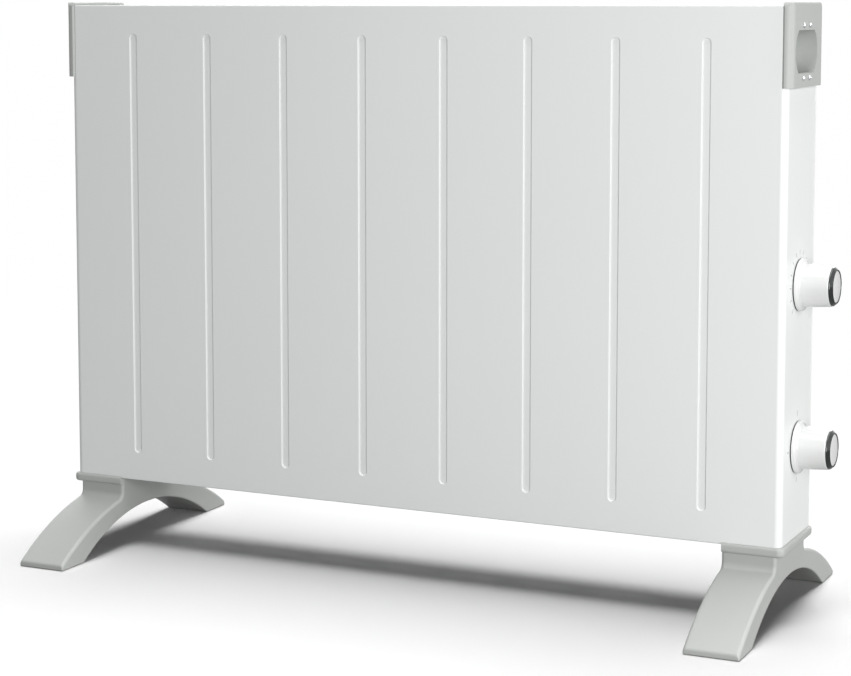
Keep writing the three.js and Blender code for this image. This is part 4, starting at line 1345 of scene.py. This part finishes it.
# ---------------------------------------------------------------------------
# Dials
# ---------------------------------------------------------------------------
@dataclass
class Dial:
    """A turned knob with its plated ring and end cap, and the scale beside it."""

    case: Case
    name: str
    z: float
    marks: tuple[float, ...]
    reach: float = 34.2
    gap: float = 1.0
    skirt: float = 23.7
    skirt_depth: float = 3.2
    shoulder: float = 1.0
    grip: float = 19.4
    grip_end: float = 17.8
    step: float = 0.5
    ring: float = 3.8
    ring_end: float = 14.4
    cap: float = 14.0
    cap_depth: float = 2.6
    pocket: float = 11.5
    pocket_depth: float = 6.0
    spindle: float = 3.3
    hub: float = 20.0
    pointer: float = 1.6
    mark_near: float = 27.5
    mark_far: float = 31.5
    mark_width: float = 0.7
    mark_proud: float = 0.08
    end_mark: float = 1.5
    skirt_fall: float = 0.6
    grip_round: float = 0.7
    groove_depth: float = 0.8
    groove_round: float = 0.5
    ring_wall: float = 2.0
    ring_band: float = 0.8
    ring_nose: tuple[Pair, ...] = ((0.1, 0.5), (0.3, 0.0))
    ring_round: float = 0.22
    cap_dome: tuple[Pair, ...] = ((0.7, 0.0), (0.32, 3.0), (0.12, 7.0), (0.02, 11.0))
    cap_round: float = 0.4
    # A black washer in the gap behind the skirt stands in for the shadow there: painted shade.
    washer_lift: float = 0.05
    washer_inset: float = 0.5
    washer_round: float = 0.15

    @property
    def body(self) -> str:
        """The body that the knob turns with."""
        return f"{self.name}_dial"

    @property
    def skirt_x(self) -> float:
        """The back of the skirt."""
        return self.case.half_width + self.gap

    @property
    def face_x(self) -> float:
        """The end of the cap."""
        return self.case.half_width + self.reach

    def knob(self) -> bpy.types.Object:
        """Builds the white knob."""
        x0 = self.skirt_x
        face = self.face_x - self.ring - self.case.fit
        foot = x0 + self.skirt_depth + self.shoulder
        profile = (
            (x0 + self.pocket_depth, self.spindle), (x0 + self.pocket_depth, self.pocket),
            (x0, self.pocket), (x0, self.skirt), (x0 + self.skirt_depth, self.skirt - self.skirt_fall),
            (foot, self.grip), (face, self.grip_end), (face, 0.0), (x0 + self.hub, 0.0),
            (x0 + self.hub, self.spindle),
        )
        form = Shape.turned(profile, (0, self.z), closed=True)
        form.bevel(sharper_than(25), self.grip_round, segments=4)
        piece = Piece(f"{self.name}_grip", form)
        floor = self.z + self.grip_end - self.groove_depth
        half = self.pointer / 2
        groove = Shape.block((foot, -half, floor), (self.face_x, half, self.z + self.skirt))
        groove.bevel(all_of(along(Axis.X), at(Axis.Z, floor)), self.groove_round, segments=3)
        piece.combine(groove, Action.CUT)
        return piece.dress(WHITE_PLASTIC, self.body, [f"{self.name}_knob"])

    def plated_ring(self) -> bpy.types.Object:
        """Builds the plated ring at the end of the grip."""
        back = self.face_x - self.ring
        ledge = self.face_x - self.cap_depth
        inner, outer = self.cap - self.ring_wall, self.grip_end - self.step
        profile = (
            (back, inner), (back, outer), (back + self.ring_band, outer),
            *((self.face_x - behind, self.ring_end + more) for behind, more in self.ring_nose),
            (ledge, self.cap + self.case.fit), (ledge, inner),
        )
        form = Shape.turned(profile, (0, self.z), closed=True)
        form.bevel(sharper_than(20), self.ring_round, segments=3)
        # The ring's chrome is painted near black, as a painted dark reflection.
        return Piece(f"{self.name}_bezel", form).dress(PAINTED_DARK_CHROME, self.body, [f"{self.name}_knob_ring"])

    def end_cap(self) -> bpy.types.Object:
        """Builds the slightly domed disc in the ring."""
        back = self.face_x - self.cap_depth + self.case.fit
        profile = (
            (back, 0.0), (back, self.cap),
            *((self.face_x - behind, self.cap - inward) for behind, inward in self.cap_dome),
            (self.face_x, 0.0),
        )
        form = Shape.turned(profile, (0, self.z))
        form.bevel(sharper_than(30), self.cap_round, segments=3)
        return Piece(f"{self.name}_disc", form).dress(WHITE_PLASTIC, self.body, [f"{self.name}_knob_cap"])

    def washer(self) -> bpy.types.Object:
        """Builds a black washer between the skirt and the case: a dark ring put in the gap as painted shade
        for the shadow there.
        """
        x0 = self.case.half_width + self.washer_lift
        x1 = self.skirt_x - self.case.fit
        outer = self.skirt - self.washer_inset
        profile = ((x0, self.pocket), (x1, self.pocket), (x1, outer), (x0, outer))
        form = Shape.turned(profile, (0, self.z), closed=True)
        form.bevel(sharper_than(30), self.washer_round, segments=2)
        return Piece(f"{self.name}_washer", form).dress(BLACK_PLASTIC, ROOT, [])

    def scale(self) -> bpy.types.Object:
        """Builds the printed marks on the case's side, as a thin film."""
        x0 = self.case.half_width - self.mark_proud
        x1 = self.case.half_width + self.mark_proud
        film = Shape()
        for i, angle in enumerate(self.marks):
            far = self.mark_far + (self.end_mark if i in (0, len(self.marks) - 1) else 0.0)
            half = self.mark_width / 2
            mark = Shape.block((x0, -half, self.z + self.mark_near), (x1, half, self.z + far))
            film.add(mark.spread(angle, Axis.X, (0, self.z)))
        return Piece(f"{self.name}_scale", film).dress(SCALE_INK, ROOT, [])

    @staticmethod
    def sweep(first: float, count: int, turn: float = 270.0) -> tuple[float, ...]:
        """Returns the angles of evenly spaced marks over the dial's turn."""
        return tuple(first + turn * i / (count - 1) for i in range(count))

    def build(self) -> None:
        """Builds the whole dial."""
        self.knob()
        self.plated_ring()
        self.end_cap()
        self.washer()
        self.scale()


# ---------------------------------------------------------------------------
# Screws and the gland
# ---------------------------------------------------------------------------
@dataclass(frozen=True)
class Screw:
    """A domed screw with a cross recess, made along X with its seat at zero."""

    shank: float
    head: float
    head_height: float
    length: float
    slot: float
    lead: float = 1.5
    lead_share: float = 0.6
    rim_share: float = 0.35
    dome: tuple[Pair, ...] = ((0.75, 0.78), (0.95, 0.4))
    arm_share: float = 0.62
    rim_round: float = 0.15

    def build(self, name: str, seat: Vector, out: Vector) -> bpy.types.Object:
        """Builds one screw in its place.

        Args:
            name: the CAD node that it stands for.
            seat: where its head rests.
            out: the way that its head points.

        Returns:
            The finished screw.
        """
        high = self.head_height
        rim = high * self.rim_share
        profile = (
            (-self.length, 0.0), (-self.length, self.shank * self.lead_share),
            (-self.length + self.lead, self.shank), (0.0, self.shank), (0.0, self.head), (rim, self.head),
            *((high * rise, self.head * width) for rise, width in self.dome), (high, 0.0),
        )
        form = Shape.turned(profile, (0, 0), sides=32)
        form.bevel(all_of(at(Axis.X, rim), sharper_than(20)), high * self.rim_round, segments=2)
        piece = Piece(f"{name}_head", form)
        half, arm = self.slot / 2, self.head * self.arm_share
        for y, z in ((half, arm), (arm, half)):
            piece.combine(Shape.block((rim, -y, -z), (high + PAST, y, z)), Action.CUT)
        return piece.point(seat, out).dress(ZINC, ROOT, [name])


@dataclass
class Fasteners:
    """Every screw that shows on the outside."""

    case: Case
    handle: Screw = Screw(shank=1.4, head=2.4, head_height=1.2, length=10.8, slot=0.7)
    foot: Screw = Screw(shank=2.0, head=4.2, head_height=2.4, length=21.6, slot=1.2)
    back: Screw = Screw(shank=1.6, head=3.2, head_height=1.8, length=7.2, slot=0.9)
    recess: FingerRecess = field(default_factory=FingerRecess)
    handle_pitch: float = 20.0
    handle_rise: float = 23.0
    foot_seat: float = 57.7
    back_margin: float = 52.0

    def build(self) -> None:
        """Builds all the screws."""
        case = self.case
        places = [
            (self.recess.y + shift * self.handle_pitch / 2, self.recess.z + rise)
            for rise in (self.handle_rise, -self.handle_rise)
            for shift in (-1, 1)
        ]
        face = case.half_width + case.handle_proud + case.fit
        foot_x, foot_y = case.foot_screw_at
        for side in Side:
            for i, (y, z) in enumerate(places):
                name = f"{side.word}_handle_screw_{i + 1}"
                self.handle.build(name, Vector((side.value * face, y, z)), Vector((side.value, 0, 0)))
            for i, y in enumerate((-foot_y, foot_y)):
                seat = Vector((side.value * foot_x, y, self.foot_seat))
                self.foot.build(f"{side.word}_foot_screw_{i + 1}", seat, Vector((0, 0, -1)))
        low, high = case.bottom + self.back_margin, case.top - self.back_margin
        rows = (low, (low + high) / 2, high)
        spots = [(side, z) for side in (-1, 1) for z in rows]
        for i, (side, z) in enumerate(spots):
            x = side * (case.half_width - case.back_screw_inset)
            seat = Vector((x, case.half_depth + case.fit, z))
            self.back.build(f"back_screw_{i + 1}", seat, Vector((0, 1, 0)))


@dataclass
class Gland:
    """The bush where the mains lead enters the back panel."""

    case: Case
    barrel: float = 7.0
    flange: float = 10.5
    thickness: float = 2.5
    snap: float = 8.0
    bore: float = 4.0
    nose: Pair = (1.0, 0.6)
    softness: float = 0.35

    def build(self) -> bpy.types.Object:
        """Builds and dresses the bush."""
        case = self.case
        inner = case.half_depth - case.sheet - case.fit
        outer = case.half_depth + case.fit
        start, end = inner - self.thickness, outer + self.thickness
        profile = (
            (start, self.bore), (start, self.snap), (inner, self.snap), (inner, self.barrel),
            (outer, self.barrel), (outer, self.flange), (end - self.nose[0], self.flange),
            (end, self.barrel + self.nose[1]), (end, self.bore),
        )
        form = Shape.turned(profile, (0, 0), sides=64, closed=True)
        form.bevel(sharper_than(30), self.softness, segments=3)
        piece = Piece("lead_bush", form)
        x, z = case.gland_at
        return piece.point(Vector((x, 0, z)), Vector((0, 1, 0))).dress(GREY_PLASTIC, ROOT, ["cord_gland"])


# ---------------------------------------------------------------------------
# Carried-over nodes
# ---------------------------------------------------------------------------
class CarriedNodes:
    """The CAD nodes that keep their own shape and take a finish."""

    def dress(self) -> None:
        """Gives every CAD node the finish of its slot in the record."""
        for entry in frame["record"]["subparts"]:
            node = frame["nodes"][entry["node"]]
            for i in range(len(node.data.materials)):
                node.data.materials[i] = FINISHES[entry["material_slot"]].material()
        log.info("finishes given to %d CAD nodes", len(frame["nodes"]))


# ---------------------------------------------------------------------------
# Studio
# ---------------------------------------------------------------------------
@dataclass(frozen=True)
class FarLamp:
    """A lamp so far off that its light is even: where it comes from, its strength and its spread."""

    name: str
    comes_from: Triple
    strength: float
    spread: float
    lights_floor: bool = True


@dataclass(frozen=True)
class SoftBox:
    """A soft box: where it hangs, what it faces, its width and height, and its power in watts."""

    name: str
    hangs_at: Triple
    faces: Triple
    size: Pair
    power: float


@dataclass
class Studio:
    """A white floor, soft light and the camera."""

    camera_at: Triple = (0.85285, -1.8491, 0.5462)
    yaw: float = 25.071
    pitch: float = 5.5
    lens: float = 90.97
    shift_y: float = -0.1492
    floor_radius: float = 40.0
    sky: float = 0.1
    backdrop: float = 1.0
    far_lamps: tuple[FarLamp, ...] = (
        FarLamp("overhead_rear", (0.0, 0.27, 1.0), strength=1.75, spread=34.0),
        FarLamp("overhead_front", (0.0, -0.21, 1.0), strength=1.22, spread=26.0),
        FarLamp("right_far", (1.0, 0.0, 0.2), strength=1.4, spread=30.0, lights_floor=False),
        FarLamp("rear_far", (-0.4, 1.0, 0.4), strength=1.5, spread=40.0, lights_floor=False),
    )
    right_box: SoftBox = SoftBox(
        "right_box", hangs_at=(1.2, -1.38, 0.5), faces=(0.2, 0.0, 0.3), size=(0.8, 0.9), power=21.0
    )
    floor_tone: float = 0.98
    floor_bounce: float = 0.45
    floor_roughness: float = 0.9
    sees_to: float = 200.0

    def floor(self) -> bpy.types.Object:
        """Lays the pale floor."""
        bm = bmesh.new()
        bmesh.ops.create_circle(bm, cap_ends=True, segments=96, radius=self.floor_radius)
        mesh = bpy.data.meshes.new("studio_floor")
        bm.to_mesh(mesh)
        bm.free()
        floor = bpy.data.objects.new("studio_floor", mesh)
        bpy.context.scene.collection.objects.link(floor)
        material = bpy.data.materials.new("studio_white")
        material.use_nodes = True
        nodes = material.node_tree.nodes
        link = material.node_tree.links.new
        shader = nodes["Principled BSDF"]
        shader.inputs["Roughness"].default_value = self.floor_roughness
        shader.inputs["Specular IOR Level"].default_value = 0.0
        path = nodes.new("ShaderNodeLightPath")
        tone = nodes.new("ShaderNodeMapRange")
        tone.inputs["To Min"].default_value = self.floor_bounce
        tone.inputs["To Max"].default_value = self.floor_tone
        link(path.outputs["Is Camera Ray"], tone.inputs["Value"])
        link(tone.outputs["Result"], shader.inputs["Base Color"])
        mesh.materials.append(material)
        return floor

    def hang(
        self, name: str, lamp: bpy.types.Light, place: Vector, way: Vector, dark: bpy.types.Object | None
    ) -> None:
        """Puts a lamp in the scene.

        Args:
            name: its name.
            lamp: its data.
            place: where it hangs.
            way: where its light goes.
            dark: an object that it doesn't light.
        """
        holder = bpy.data.objects.new(name, lamp)
        holder.location = place
        holder.rotation_euler = way.to_track_quat("-Z", "Y").to_euler()
        bpy.context.scene.collection.objects.link(holder)
        if dark is not None:
            flagged = bpy.data.collections.new(f"{name}_flagged")
            flagged.objects.link(dark)
            holder.light_linking.receiver_collection = flagged
            flagged.collection_objects[0].light_linking.link_state = "EXCLUDE"

    def light(self, floor: bpy.types.Object) -> None:
        """Hangs every lamp; the soft box and the low lamps don't light the floor."""
        for far in self.far_lamps:
            sun = bpy.data.lights.new(far.name, "SUN")
            sun.energy = far.strength
            sun.angle = math.radians(far.spread)
            source = Vector(far.comes_from)
            self.hang(far.name, sun, source, -source, None if far.lights_floor else floor)
        box = self.right_box
        area = bpy.data.lights.new(box.name, "AREA")
        area.shape = "RECTANGLE"
        area.size, area.size_y = box.size
        area.energy = box.power
        place = Vector(box.hangs_at)
        self.hang(box.name, area, place, Vector(box.faces) - place, floor)

    def build(self) -> None:
        """Sets the floor, the lights and the camera."""
        scene = bpy.context.scene
        floor = self.floor()
        world = bpy.data.worlds.new("studio_air")
        world.use_nodes = True
        nodes = world.node_tree.nodes
        path = nodes.new("ShaderNodeLightPath")
        tone = nodes.new("ShaderNodeMapRange")
        tone.inputs["To Min"].default_value = self.backdrop
        tone.inputs["To Max"].default_value = self.sky
        world.node_tree.links.new(path.outputs["Is Diffuse Ray"], tone.inputs["Value"])
        world.node_tree.links.new(tone.outputs["Result"], nodes["Background"].inputs["Strength"])
        nodes["Background"].inputs["Color"].default_value = (1, 1, 1, 1)
        scene.world = world
        self.light(floor)
        scene.view_settings.view_transform = "Standard"
        camera = bpy.data.cameras.new("camera")
        camera.lens = self.lens
        camera.sensor_width = 36.0
        camera.sensor_fit = "HORIZONTAL"
        camera.shift_y = self.shift_y
        camera.clip_end = self.sees_to
        stand = bpy.data.objects.new("camera", camera)
        stand.location = self.camera_at
        stand.rotation_euler = (math.radians(90 - self.pitch), 0, math.radians(self.yaw))
        scene.collection.objects.link(stand)
        scene.camera = stand
        log.info("studio set")


def main() -> None:
    """Builds every sub-assembly in order."""
    case = Case()
    CarriedNodes().dress()
    FrontShell(case).build()
    plates = CasePlates(case)
    plates.top_grille()
    plates.base_plate()
    plates.back_panel()
    for side in Side:
        CornerHandle(case).build(side)
        Foot(case).build(side)
    upper, lower = case.dial_heights
    Dial(case, "thermostat", upper, Dial.sweep(first=-135.0, count=13)).build()
    Dial(case, "power", lower, Dial.sweep(first=0.0, count=4)).build()
    Fasteners(case).build()
    Gland(case).build()
    Studio().build()


if __name__ == "__main__":
    logging.basicConfig(level=logging.INFO, format="%(name)s: %(message)s")
    main()
